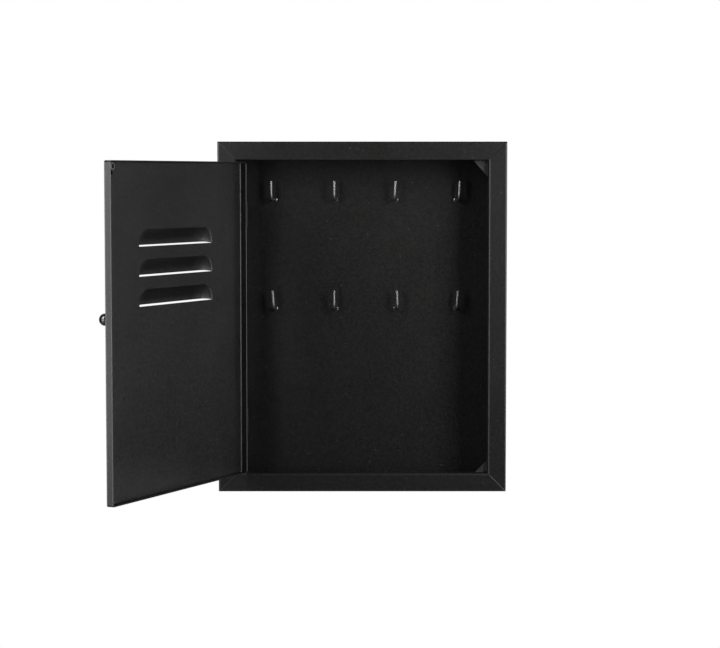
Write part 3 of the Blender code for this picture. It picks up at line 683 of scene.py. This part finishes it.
class KEYCABINET_OT_casing(bpy.types.Operator):
    """Builds the four mitred rails, the back panel and the two gussets"""

    bl_idname = "key_cabinet.casing"
    bl_label = "Casing"

    def execute(self, context):
        sizes = context.scene.key_cabinet_sizes
        finishes = context.scene.key_cabinet_finishes
        paint = coat("casing_powder_coat", finishes.casing)
        middle = (CASING_LOW + CASING_HIGH) / 2
        width, height = CASING_HIGH[0] - CASING_LOW[0], CASING_HIGH[2] - CASING_LOW[2]
        sides = (
            ("stile_left", height, CASING_LOW[0], middle[2]),
            ("rail_top", width, middle[0], CASING_HIGH[2]),
            ("stile_right", height, CASING_HIGH[0], middle[2]),
            ("rail_bottom", width, middle[0], CASING_LOW[2]),
        )
        for number, (node, rail_length, x, z) in enumerate(sides):
            points, faces, bends, matt = mitred_rail(sizes, rail_length, *RAIL_SHARES[number])
            points = turned(points, number * math.pi / 2, (2, 0)) + (x, CASING_LOW[1], z)
            mesh = to_mesh(node + "_folded", points, faces, bends=bends, matt=matt)
            round_edges(add_piece(mesh, paint, "casing", node), sizes.cut_round)
        paint = coat("panel_powder_coat", finishes.panel)
        add_copied_piece("back_panel", "_sheet", paint, "casing", sizes.cut_round)
        # The gussets get the lighter coat, a painted highlight for the light they catch
        paint = coat("gusset_powder_coat", finishes.gusset)
        for node in ("gusset_top", "gusset_bottom"):
            add_copied_piece(node, "_plate", paint, "casing", sizes.gusset_round, segments=3)
        return {"FINISHED"}


def hook_path(sizes, turn, slope, foot):
    """Centres and radii along a hook: straight out from its foot, a quarter turn up, the prong
    and its domed tip, then turned by the yaw and sheared by the lean's slope. In the weld the
    radius swells by the weld's own width times the fourth power of the spread still to go."""
    bend = np.linspace(0, math.pi / 2, 2 * FOLD_STEPS + 1)
    tip = np.linspace(0, math.pi / 2, FOLD_STEPS + 1)
    dome = sizes.hook_height - sizes.wire_radius
    spread = WELD_SPREAD * sizes.weld_height
    weld = np.linspace(foot, foot + spread, FOLD_STEPS)
    straight = sizes.hook_reach - sizes.hook_bend
    out = np.concatenate([
        weld, straight + sizes.hook_bend * np.sin(bend), np.full(len(tip), sizes.hook_reach)
    ])
    rise = np.concatenate([
        0 * weld, sizes.hook_bend * (1 - np.cos(bend)), dome + sizes.wire_radius * np.sin(tip)
    ])
    radii = np.concatenate([
        np.full(len(weld) + len(bend), sizes.wire_radius), sizes.wire_radius * np.cos(tip)
    ])
    to_go = np.clip(1 - (out - foot) / spread, 0, 1)
    radii += (sizes.weld_radius - sizes.wire_radius) * to_go**4 * (rise == 0)
    side = rise * slope
    x = side * math.cos(turn) - out * math.sin(turn)
    y = -out * math.cos(turn) - side * math.sin(turn)
    return np.stack([x, y, rise], axis=1), radii


def swept_round(centres, radii, across):
    """A round carried along a flat path and closed at its start: each point is the centre plus
    the radius times the cosine along the path's plane normal and the sine along the third
    direction."""
    ahead = np.gradient(centres, axis=0)
    ahead /= np.maximum(np.linalg.norm(ahead, axis=1), MERGE_DISTANCE)[:, None]
    third = np.cross(ahead, across)
    third /= np.linalg.norm(third, axis=1)[:, None]
    turn = np.arange(WIRE_STEPS) * 2 * math.pi / WIRE_STEPS
    ring = np.cos(turn)[None, :, None] * across + np.sin(turn)[None, :, None] * third[:, None, :]
    points = centres[:, None, :] + radii[:, None, None] * ring
    faces = [*wall_grid(len(centres), WIRE_STEPS, wrap=True), range(WIRE_STEPS)]
    return points.reshape(-1, 3), faces


class KEYCABINET_OT_hooks(bpy.types.Operator):
    """Builds the eight wire hooks with the welds at their feet"""

    bl_idname = "key_cabinet.hooks"
    bl_label = "Hooks"

    def execute(self, context):
        sizes = context.scene.key_cabinet_sizes
        tint = context.scene.key_cabinet_finishes.small_parts
        paint = coat("hook_powder_coat", tint, IOR=1.8, Specular_IOR_Level=1.0)
        panel_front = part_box("back_panel")[0].y
        turns = np.radians(HOOK_TURNS).reshape(-1, 2)
        for number, (turn, lean) in enumerate(turns, start=1):
            node = f"hook_{number}"
            points = node_points(node)
            foot = points[points[:, 1] > points[:, 1].max() - MERGE_DISTANCE]
            place = (foot.min(0) + foot.max(0)) / 2
            slope = math.tan(lean)
            centres, radii = hook_path(sizes, turn, slope, panel_front - place[1])
            plane = np.cross(
                (-math.sin(turn), -math.cos(turn), 0),
                (slope * math.cos(turn), -slope * math.sin(turn), 1),
            )
            surface, faces = swept_round(centres, radii, plane / np.linalg.norm(plane))
            surface += (place[0], panel_front, place[2])
            add_piece(to_mesh(node + "_wire", surface, faces), paint, "casing", node)
        return {"FINISHED"}


def hood_profile(reach):
    """Height share of a hood at a share of its outline: one less the share's square, raised to
    the fullness, and past the flank a cubic that lands flat on the sheet."""
    width = HOOD_LANDING - HOOD_FLANK
    top = np.clip(1 - reach**2, 0, 1) ** HOOD_FULLNESS
    start = (1 - HOOD_FLANK**2) ** HOOD_FULLNESS
    slope = -2 * HOOD_FULLNESS * HOOD_FLANK * start / (1 - HOOD_FLANK**2) * width
    t = np.clip((reach - HOOD_FLANK) / width, 0, 1)
    cubic = (2 * t**3 - 3 * t**2 + 1) * start + (t**3 - 2 * t**2 + t) * slope
    return np.where(reach < HOOD_FLANK, top, cubic)


def louvre_shape(sizes, x, above):
    """How far a point stands out and is drawn up, by its place from the slit's middle.

    The outline's share is the root of the squares of the place along the rounded end and of the
    height over the slit. Towards the ends the lip's own depth tapers by a power of the way
    through the taper, which begins before the rounded end. The lip is drawn up by the slit's
    width, which fades to the outline."""
    half, taper = sizes.louvre_length / 2, sizes.louvre_taper
    along = np.clip(np.abs(x) - (half - sizes.louvre_corner), 0, None)
    inward = np.clip(np.abs(x) - (half - taper), 0, taper)
    ended = np.clip(along / sizes.louvre_corner, 0, 1)
    made_up = (1 - END_SHARE * ended**2) ** HOOD_FULLNESS
    depth = (1 - TAPER_SHARE * (inward / taper) ** TAPER_POWER) / made_up
    reach = np.hypot(along / sizes.louvre_corner, above / sizes.louvre_height)
    proud = sizes.louvre_proud * depth * hood_profile(reach)
    fade = np.clip(1 - above / sizes.louvre_height, 0, 1) ** 2
    drawn = sizes.louvre_slit * np.clip(1 - reach**4, 0, 1) * fade
    return proud, drawn


def stations(marks, steps):
    """Sorted places that cut each run from one mark to the next by its own step, with near
    doubles dropped."""
    runs = zip(marks[:-1], marks[1:], steps)
    places = np.concatenate(
        [np.linspace(a, b, max(2, int(round(abs(b - a) / step)) + 1)) for a, b, step in runs]
    )
    places = np.unique(np.round(places, PLACE_DIGITS))
    keep = np.concatenate([[True], np.diff(places) > NEAR_DOUBLE])
    return places[keep]


def door_lines(sizes, low, high, inner):
    """Places along one side of the pan: flange, fold, flat and the same again. Returns the flat
    place, the fold's angle, the flange's depth, and the sign of each line."""
    radius = sizes.fold_radius + sizes.door_sheet
    depth = PAN_DEPTH - radius
    angles = np.linspace(0, math.pi / 2, FOLD_STEPS + 1)[1:]
    flange = np.array((BESIDE, depth / 2, depth - 2 * BESIDE, depth))
    edge = len(angles) + len(flange)
    flat = np.concatenate([[low + radius] * edge, inner, [high - radius] * edge])
    angle = np.concatenate([
        [math.pi / 2] * len(flange), angles[::-1], 0 * inner, angles, [math.pi / 2] * len(flange)
    ])
    beyond = np.concatenate([flange[::-1], np.zeros(2 * len(angles) + len(inner)), flange])
    sign = np.concatenate([[-1.0] * edge, 0 * inner, [1.0] * edge])
    return flat, angle, beyond, sign


def pan_columns(sizes):
    """Places across the flat: fine at the hoods' ends, and square round the knob's hole."""
    radius = sizes.fold_radius + sizes.door_sheet
    middle, reach = PAN_MIDDLE[0], sizes.louvre_length / 2
    hood = PAST_HOOD * reach
    corner = reach - PAST_TAPER * sizes.louvre_corner
    taper = reach - PAST_TAPER * sizes.louvre_taper
    knob, side = KNOB_MIDDLE[0], KNOB_SQUARE * sizes.knob_hole
    marks = (
        PAN_LOW[0] + radius,
        middle - hood, middle - corner, middle - taper,
        middle + taper, middle + corner, middle + hood,
        knob - side, knob + side,
        PAN_HIGH[0] - radius,
    )
    steps = (COARSE, FINE, 3 * FINE, COARSE, 3 * FINE, FINE, COARSE, side / 2, COARSE)
    return stations(marks, steps)


def pan_rows(sizes):
    """Places up the flat, the slit below each in its hood, which is no number outside them, and
    the numbers of the places where a slit doubles the line."""
    radius = sizes.fold_radius + sizes.door_sheet
    knob, side = KNOB_MIDDLE[2], KNOB_SQUARE * sizes.knob_hole
    drops = sizes.louvre_pitch * np.arange(sizes.louvre_count)[::-1]
    slits = PAN_HIGH[2] - sizes.louvre_drop - drops
    ends = [*slits, PAN_HIGH[2] - radius]
    marks = (PAN_LOW[2] + radius, knob - side, knob + side, ends[0])
    rows = [stations(marks, (COARSE, side / 2, COARSE))]
    crown = CROWN_LINE * sizes.louvre_height
    landing = LANDING_LINE * sizes.louvre_height
    for slit, end in zip(slits, ends[1:]):
        marks = (slit, slit + crown, slit + landing, end)
        rows.append(stations(marks, (2 * FINE, FINE / 2, COARSE)))
    counts = [len(row) for row in rows]
    below = np.repeat([np.nan, *slits], counts)
    return np.concatenate(rows), below, np.cumsum(counts)[:-1]


def pan_surface(sizes):
    """The door's outer skin on one grid of lines across and up.

    On the flat, a point is pushed out by its louvre. At a fold of angle a across and b up it lies
    radius * sin(a) * sqrt(1 - sin(b)^2 / 2) beyond the flat and likewise up, and
    radius * (1 - cos(a) * cos(b)) behind it, which rounds the corner; a flange then runs straight
    back. At each slit the line is doubled, so that the lip comes free of the sheet below.

    Returns the points, both angles, the doubled lines, and the shares of painted highlight or
    shade and of matt coat."""
    radius = sizes.fold_radius + sizes.door_sheet
    across = pan_columns(sizes)
    up, below, breaks = pan_rows(sizes)
    flat_x, angle_x, beyond_x, sign_x = door_lines(sizes, PAN_LOW[0], PAN_HIGH[0], across)
    flat_z, angle_z, beyond_z, sign_z = door_lines(sizes, PAN_LOW[2], PAN_HIGH[2], up)
    edge = (len(flat_z) - len(up)) // 2
    below = np.pad(below, edge, constant_values=np.nan)[:, None]
    a, b = np.sin(angle_x)[None, :], np.sin(angle_z)[:, None]
    x = flat_x[None, :] + radius * sign_x[None, :] * a * np.sqrt(1 - b**2 / 2)
    z = flat_z[:, None] + radius * sign_z[:, None] * b * np.sqrt(1 - a**2 / 2)
    y = radius * (1 - np.cos(angle_x)[None, :] * np.cos(angle_z)[:, None])
    y = PAN_OUTER + y + beyond_x[None, :] + beyond_z[:, None]
    hooded = ~np.isnan(below) & (sign_x == 0)[None, :]
    above = np.where(hooded, z - np.nan_to_num(below), 2 * sizes.louvre_height)
    proud, drawn = louvre_shape(sizes, x - PAN_MIDDLE[0], above)
    # Painted shade in the hoods' crowns and on the level folds, and painted highlights on the
    # upright folds and cut edges
    crown = np.clip((above / sizes.louvre_height - CROWN_START) / CROWN_FADE, 0, 1) * (proud > 0)
    folded = DOOR_FOLD_SHARE * ((angle_x > 0) & (beyond_x == 0))
    cut = beyond_x > PAN_DEPTH - radius - BESIDE
    cut_edge = np.where(sign_x < 0, DOOR_EDGE_SHARE, DOOR_FREE_EDGE_SHARE) * cut
    level = DOOR_LEVEL_SHARE * ((angle_z > 0) & (beyond_z == 0))
    bends = np.maximum(folded, cut_edge) + level[:, None] + HOOD_CROWN_SHARE * crown
    inside = PAN_MIDDLE[0] - x - sizes.louvre_length / 2 + sizes.louvre_taper
    ends = np.clip(inside / (HOOD_END_FADE * sizes.louvre_taper), 0, 1) * (proud > 0)
    matt = np.maximum(HOOD_END_MATT * ends, FREE_SIDE_MATT * ((sign_x > 0) & (beyond_x > 0)))
    points = np.stack([x, y - proud, z + drawn], axis=-1)
    return points, angle_x, angle_z, breaks + edge, {"bends": bends, "matt": matt}


def from_knob(sizes, points):
    """The larger of the distances across and up from the knob's middle, where 1 lies on the
    square round its hole."""
    away = np.abs(points - KNOB_MIDDLE)
    return np.maximum(away[..., 0], away[..., 2]) / (KNOB_SQUARE * sizes.knob_hole)


def knob_ring(sizes, flat):
    """The numbers of the points on the square of grid lines round the knob's hole, in their
    order round it, and the point of the hole on the ray to each."""
    numbers = np.flatnonzero(np.abs(from_knob(sizes, flat) - 1) < SQUARE_TOLERANCE)
    away = flat[numbers] - KNOB_MIDDLE
    turn = np.arctan2(away[:, 2], away[:, 0])
    order = np.argsort(turn)
    numbers, turn = numbers[order], turn[order]
    x = KNOB_MIDDLE[0] + sizes.knob_hole * np.cos(turn)
    z = KNOB_MIDDLE[2] + sizes.knob_hole * np.sin(turn)
    return numbers, np.stack([x, np.full(len(turn), PAN_OUTER), z], axis=1)


def door_skin(sizes):
    """The pan's outer skin as points, quads and the shares at each point, with open corners,
    slits and the knob's hole."""
    points, angle_x, angle_z, breaks, shares = pan_surface(sizes)
    rows, columns = points.shape[:2]
    quads = wall_grid(rows, columns).reshape(rows - 1, columns - 1, 4)
    past_x = ((angle_x[:-1] + angle_x[1:]) / 2)[None, :]
    past_z = ((angle_z[:-1] + angle_z[1:]) / 2)[:, None]
    full = math.pi / 2 - ANGLE_TOLERANCE
    keep = ~((past_x > full) & (past_z > 0)) & ~((past_z > full) & (past_x > 0))
    # No wall joins the two lines of a slit
    keep[breaks - 1, :] = False
    flat = points.reshape(-1, 3)
    keep &= from_knob(sizes, flat[quads].mean(axis=2)) >= 1
    numbers, ring = knob_ring(sizes, flat)
    new = len(flat) + np.arange(len(ring))
    sector = np.stack([numbers, np.roll(numbers, -1), np.roll(new, -1), new], axis=1)
    none = np.zeros(len(ring))
    shares = {name: np.append(values.ravel(), none) for name, values in shares.items()}
    return np.concatenate([flat, ring]), np.concatenate([quads[keep], sector]), shares


class KEYCABINET_OT_door(bpy.types.Operator):
    """Builds the folded door with its pressed louvres"""

    bl_idname = "key_cabinet.door"
    bl_label = "Door"

    def execute(self, context):
        sizes = context.scene.key_cabinet_sizes
        tint = context.scene.key_cabinet_finishes.door
        paint = coat("door_powder_coat", tint, mottling=2.8, closer=1.1)
        points, faces, shares = door_skin(sizes)
        mesh = to_mesh("door_pan_pressed", to_open_door(points), faces, closed=False, **shares)
        outward = Vector(turned(np.array((0.0, -1.0, 0.0)), -DOOR_OPENING))
        if sum(face.area * outward.dot(face.normal) for face in mesh.polygons) < 0:
            mesh.flip_normals()
        pan = add_piece(mesh, paint, "door", "door_pan")
        thick = pan.modifiers.new("sheet", "SOLIDIFY")
        thick.thickness = sizes.door_sheet
        thick.offset = -1
        thick.use_even_offset = True
        round_edges(pan, sizes.cut_round)
        return {"FINISHED"}


class KEYCABINET_OT_hinges(bpy.types.Operator):
    """Builds the hinge leaves and pins"""

    bl_idname = "key_cabinet.hinges"
    bl_label = "Hinges"

    def execute(self, context):
        sizes = context.scene.key_cabinet_sizes
        finishes = context.scene.key_cabinet_finishes
        paint = coat("hinge_powder_coat", finishes.small_parts)
        steel = metal("hinge_pin_steel", finishes.steel, roughness=0.35, tarnish=0.4)
        for level in ("upper", "lower"):
            for side, body in (("frame", "casing"), ("door", "door")):
                leaf = f"hinge_{level}_{side}_leaf"
                add_copied_piece(leaf, "_coated", paint, body, sizes.leaf_round)
            node = f"hinge_{level}_pin"
            low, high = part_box(node)
            crown, head = (high.z - low.z) / 2, (high.x - low.x) / 2
            seat = crown - sizes.pin_head
            centre = (head - sizes.pin_head, seat)
            upper = np.concatenate([
                [(0, crown)],
                arc_points(centre, sizes.pin_head, PIN_DOME_DEGREES, 0, PIN_STEPS),
                [(head, seat), (sizes.pin_radius, seat)],
            ])
            points, faces = turned_surface(np.concatenate([upper, upper[::-1] * (1, -1)]))
            mesh = to_mesh(node + "_turned", points + (low + high) / 2, faces)
            add_piece(mesh, steel, "casing", node)
        return {"FINISHED"}


class KEYCABINET_OT_knob(bpy.types.Operator):
    """Builds the knob and its screw"""

    bl_idname = "key_cabinet.knob"
    bl_label = "Knob"

    def execute(self, context):
        sizes = context.scene.key_cabinet_sizes
        finishes = context.scene.key_cabinet_finishes
        lacquer = new_finish(
            "knob_gloss_lacquer", "powder_coat", powder_coat_group,
            {
                "Colour": (*finishes.lacquer, 1),
                "Fleck Colour": (*finishes.fleck, 1),
                "Roughness": 0.22,
                "Fleck Size": 0.1 * MM,
                "Flecks per Metre": 400.0,
                "Peel per Metre": 500.0,
                "Mottling": 0.1,
            },
            depth=0.01 * MM,
            Coat_Weight=0.5,
            Coat_Roughness=0.12,
        )
        radius = (KNOB_HIGH[2] - KNOB_LOW[2]) / 2
        top, seat = PAN_OUTER - KNOB_LOW[1], PAN_OUTER - KNOB_HIGH[1]
        neck, bore, edge = sizes.knob_neck, sizes.knob_bore, sizes.knob_chamfer
        waist = -math.degrees(math.acos(neck / radius))
        deep = seat + sizes.knob_bore_depth
        profile = np.concatenate([
            arc_points((0, top - radius), radius, 90, waist, KNOB_STEPS),
            [(neck, seat + edge), (neck - edge, seat), (bore, seat), (bore, deep), (0, deep)],
        ])
        points, faces = turned_surface(profile)
        across, up, out = points.T
        laid = np.stack([KNOB_MIDDLE[0] + across, PAN_OUTER - out, KNOB_MIDDLE[2] + up], axis=1)
        add_piece(to_mesh("knob_ball", to_open_door(laid), faces), lacquer, "door", "knob")
        oxide = metal("screw_black_oxide", finishes.oxide, roughness=0.4, tarnish=0.3)
        add_copied_piece("knob_screw", "_plated", oxide, "door", sizes.screw_round)
        return {"FINISHED"}


class KEYCABINET_OT_catch(bpy.types.Operator):
    """Builds the cup magnet and the rubber bumper"""

    bl_idname = "key_cabinet.catch"
    bl_label = "Catch"

    def execute(self, context):
        sizes = context.scene.key_cabinet_sizes
        finishes = context.scene.key_cabinet_finishes
        nickel = metal("magnet_cup_nickel", finishes.nickel, roughness=0.4, tarnish=0.5)
        ferrite = coat("magnet_core_ferrite", finishes.ferrite, Specular_IOR_Level=0.15)
        rubber = coat("bumper_rubber", finishes.rubber, Specular_IOR_Level=0.04)
        pieces = {"magnet_cup": nickel, "magnet_core": ferrite, "door_bumper": rubber}
        for node, finish in pieces.items():
            add_copied_piece(node, "_fine", finish, "door", sizes.catch_round, segments=3)
        return {"FINISHED"}


def soft_lamp(target, distance, name, azimuth, elevation, width, height, power):
    """A rectangular soft lamp that faces the cabinet. The azimuth counts from the front to the
    right, seen by the camera."""
    light = bpy.data.lights.new(name, "AREA")
    light.shape = "RECTANGLE"
    light.size = width
    light.size_y = height
    light.energy = power
    lamp = bpy.data.objects.new(name, light)
    bpy.context.scene.collection.objects.link(lamp)
    a, e = math.radians(azimuth), math.radians(elevation)
    away = Vector((math.sin(a) * math.cos(e), -math.cos(a) * math.cos(e), math.sin(e)))
    lamp.location = target + away * distance
    lamp.rotation_euler = away.to_track_quat("Z", "Y").to_euler()


# Name, azimuth, elevation, width, height and watts of each lamp
LAMPS = (
    ("softbox_left", -40, 0, 0.4, 0.34, 1.4),
    ("softbox_left_low", -40, -12, 0.4, 0.34, 0.6),
    ("softbox_left_high", -40, 24, 0.24, 0.36, 3.4),
    ("softbox_right", 45, 0, 0.4, 0.34, 2.1),
    ("softbox_right_high", 40, 24, 0.24, 0.36, 3.2),
    ("softbox_far_right", 84, 0, 0.36, 0.6, 2.6),
)
# Shares of the floor's half side between which its glow rises, and the mirrored glow at its edge
GLOW_START = 0.4
GLOW_FULL = 0.85
MIRRORED_EDGE_GLOW = 0.6
# Cosines from straight behind the cabinet between which mirrored rays meet the white backdrop
BACKDROP_START = 0.5
BACKDROP_FULL = 0.8


class KEYCABINET_OT_studio(bpy.types.Operator):
    """Builds the floor, the white background, the lamps and the camera"""

    bl_idname = "key_cabinet.studio"
    bl_label = "Studio"

    def execute(self, context):
        studio = context.scene.key_cabinet_studio
        scene = context.scene
        scene.view_settings.view_transform = "Standard"
        self.make_floor(studio)
        self.make_background(scene, studio)
        target = Vector((CASING_LOW + CASING_HIGH) / 2)
        for lamp in LAMPS:
            soft_lamp(target, studio.lamp_distance, *lamp)
        camera = bpy.data.cameras.new("photo_camera")
        camera.sensor_fit = "HORIZONTAL"
        camera.sensor_width = CAMERA_SENSOR_MM
        camera.lens = CAMERA_LENS_MM
        seat = bpy.data.objects.new("photo_camera", camera)
        scene.collection.objects.link(seat)
        seat.location = CAMERA_PLACE
        seat.rotation_euler = (math.radians(CAMERA_PITCH_DEGREES), 0, 0)
        scene.camera = seat
        return {"FINISHED"}

    def make_floor(self, studio):
        """A pale floor: its own lit colour, and white for the rays that see it, less of it under
        the cabinet so that the shadow stays."""
        half = studio.floor_side / 2
        height = CASING_LOW[2] - studio.floor_drop
        corners = np.array(((-1, -1), (1, -1), (1, 1), (-1, 1))) * half
        points = np.column_stack([corners, np.full(len(corners), height)])
        mesh = bpy.data.meshes.new("floor")
        mesh.from_pydata(points, [], [range(len(corners))])
        floor = bpy.data.objects.new("floor", mesh)
        bpy.context.scene.collection.objects.link(floor)
        material = bpy.data.materials.new("floor_paper")
        material.use_nodes = True
        tree = material.node_tree
        tree.nodes.clear()
        diffuse = add_node(tree, "ShaderNodeBsdfDiffuse", {"Color": (*studio.floor_colour, 1)})
        place = add_node(tree, "ShaderNodeTexCoord").outputs["Object"]
        across = vector_node(tree, "MULTIPLY", {0: place, 1: (1, 1, 0)})["Vector"]
        away = vector_node(tree, "LENGTH", {0: across})["Value"]
        start, end = GLOW_START * half, GLOW_FULL * half
        seen = ranged(tree, away, start, end, studio.floor_glow, 1.0)
        mirrored = ranged(tree, away, start, end, studio.mirrored_glow, MIRRORED_EDGE_GLOW)
        path = add_node(tree, "ShaderNodeLightPath").outputs
        seen = math_node(tree, "MULTIPLY", path["Is Camera Ray"], seen)
        mirrored = math_node(tree, "MULTIPLY", mirrored_rays(path, tree), mirrored)
        strength = math_node(tree, "MAXIMUM", seen, mirrored)
        glow = add_node(tree, "ShaderNodeEmission", {"Strength": strength})
        both = add_node(tree, "ShaderNodeAddShader", {0: diffuse.outputs[0], 1: glow.outputs[0]})
        add_node(tree, "ShaderNodeOutputMaterial", {"Surface": both.outputs[0]})
        mesh.materials.append(material)

    def make_background(self, scene, studio):
        """White for the camera, and for mirrored rays where the backdrop stands behind the
        cabinet; a soft grey light otherwise."""
        world = bpy.data.worlds.new("studio_world")
        scene.world = world
        world.use_nodes = True
        tree = world.node_tree
        tree.nodes.clear()
        path = add_node(tree, "ShaderNodeLightPath").outputs
        direction = add_node(tree, "ShaderNodeTexCoord").outputs["Generated"]
        depth = add_node(tree, "ShaderNodeSeparateXYZ", {"Vector": direction}).outputs["Y"]
        behind = ranged(tree, depth, BACKDROP_START, BACKDROP_FULL, kind="LINEAR")
        shown = math_node(tree, "MULTIPLY", mirrored_rays(path, tree), behind)
        white = math_node(tree, "MAXIMUM", path["Is Camera Ray"], shown)
        fill, paper = (
            add_node(tree, "ShaderNodeBackground", {"Color": WHITE, "Strength": strength})
            for strength in (studio.fill, 1.0)
        )
        mixed = add_node(
            tree, "ShaderNodeMixShader", {"Fac": white, 1: fill.outputs[0], 2: paper.outputs[0]}
        )
        add_node(tree, "ShaderNodeOutputWorld", {"Surface": mixed.outputs[0]})


def mirrored_rays(path, tree):
    """One for rays from mirrors and glass, which see the white background too."""
    return math_node(tree, "MAXIMUM", path["Is Glossy Ray"], path["Is Transmission Ray"])


class KEYCABINET_PT_panel(bpy.types.Panel):
    """Lists what builds the cabinet"""

    bl_idname = "KEYCABINET_PT_panel"
    bl_label = "Key Cabinet"
    bl_space_type = "VIEW_3D"
    bl_region_type = "UI"
    bl_category = "Key Cabinet"

    def draw(self, context):
        for operator in OPERATORS:
            self.layout.operator(operator.bl_idname)
        for group in GROUPS:
            settings = getattr(context.scene, group)
            column = self.layout.column(align=True)
            for key in settings.bl_rna.properties.keys():
                if key not in ("rna_type", "name"):
                    column.prop(settings, key)


OPERATORS = (
    KEYCABINET_OT_casing,
    KEYCABINET_OT_hooks,
    KEYCABINET_OT_door,
    KEYCABINET_OT_hinges,
    KEYCABINET_OT_knob,
    KEYCABINET_OT_catch,
    KEYCABINET_OT_studio,
)

GROUPS = {
    "key_cabinet_sizes": KEYCABINET_PG_sizes,
    "key_cabinet_finishes": KEYCABINET_PG_finishes,
    "key_cabinet_studio": KEYCABINET_PG_studio,
}

CLASSES = (*GROUPS.values(), *OPERATORS, KEYCABINET_PT_panel)


def register():
    for kind in CLASSES:
        bpy.utils.register_class(kind)
    for name, group in GROUPS.items():
        setattr(bpy.types.Scene, name, PointerProperty(type=group))


def unregister():
    for name in GROUPS:
        delattr(bpy.types.Scene, name)
    for kind in reversed(CLASSES):
        bpy.utils.unregister_class(kind)


def main():
    register()
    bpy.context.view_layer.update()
    bpy.ops.key_cabinet.casing()
    bpy.ops.key_cabinet.hooks()
    bpy.ops.key_cabinet.door()
    bpy.ops.key_cabinet.hinges()
    bpy.ops.key_cabinet.knob()
    bpy.ops.key_cabinet.catch()
    bpy.ops.key_cabinet.studio()


if __name__ == "__main__":
    main()
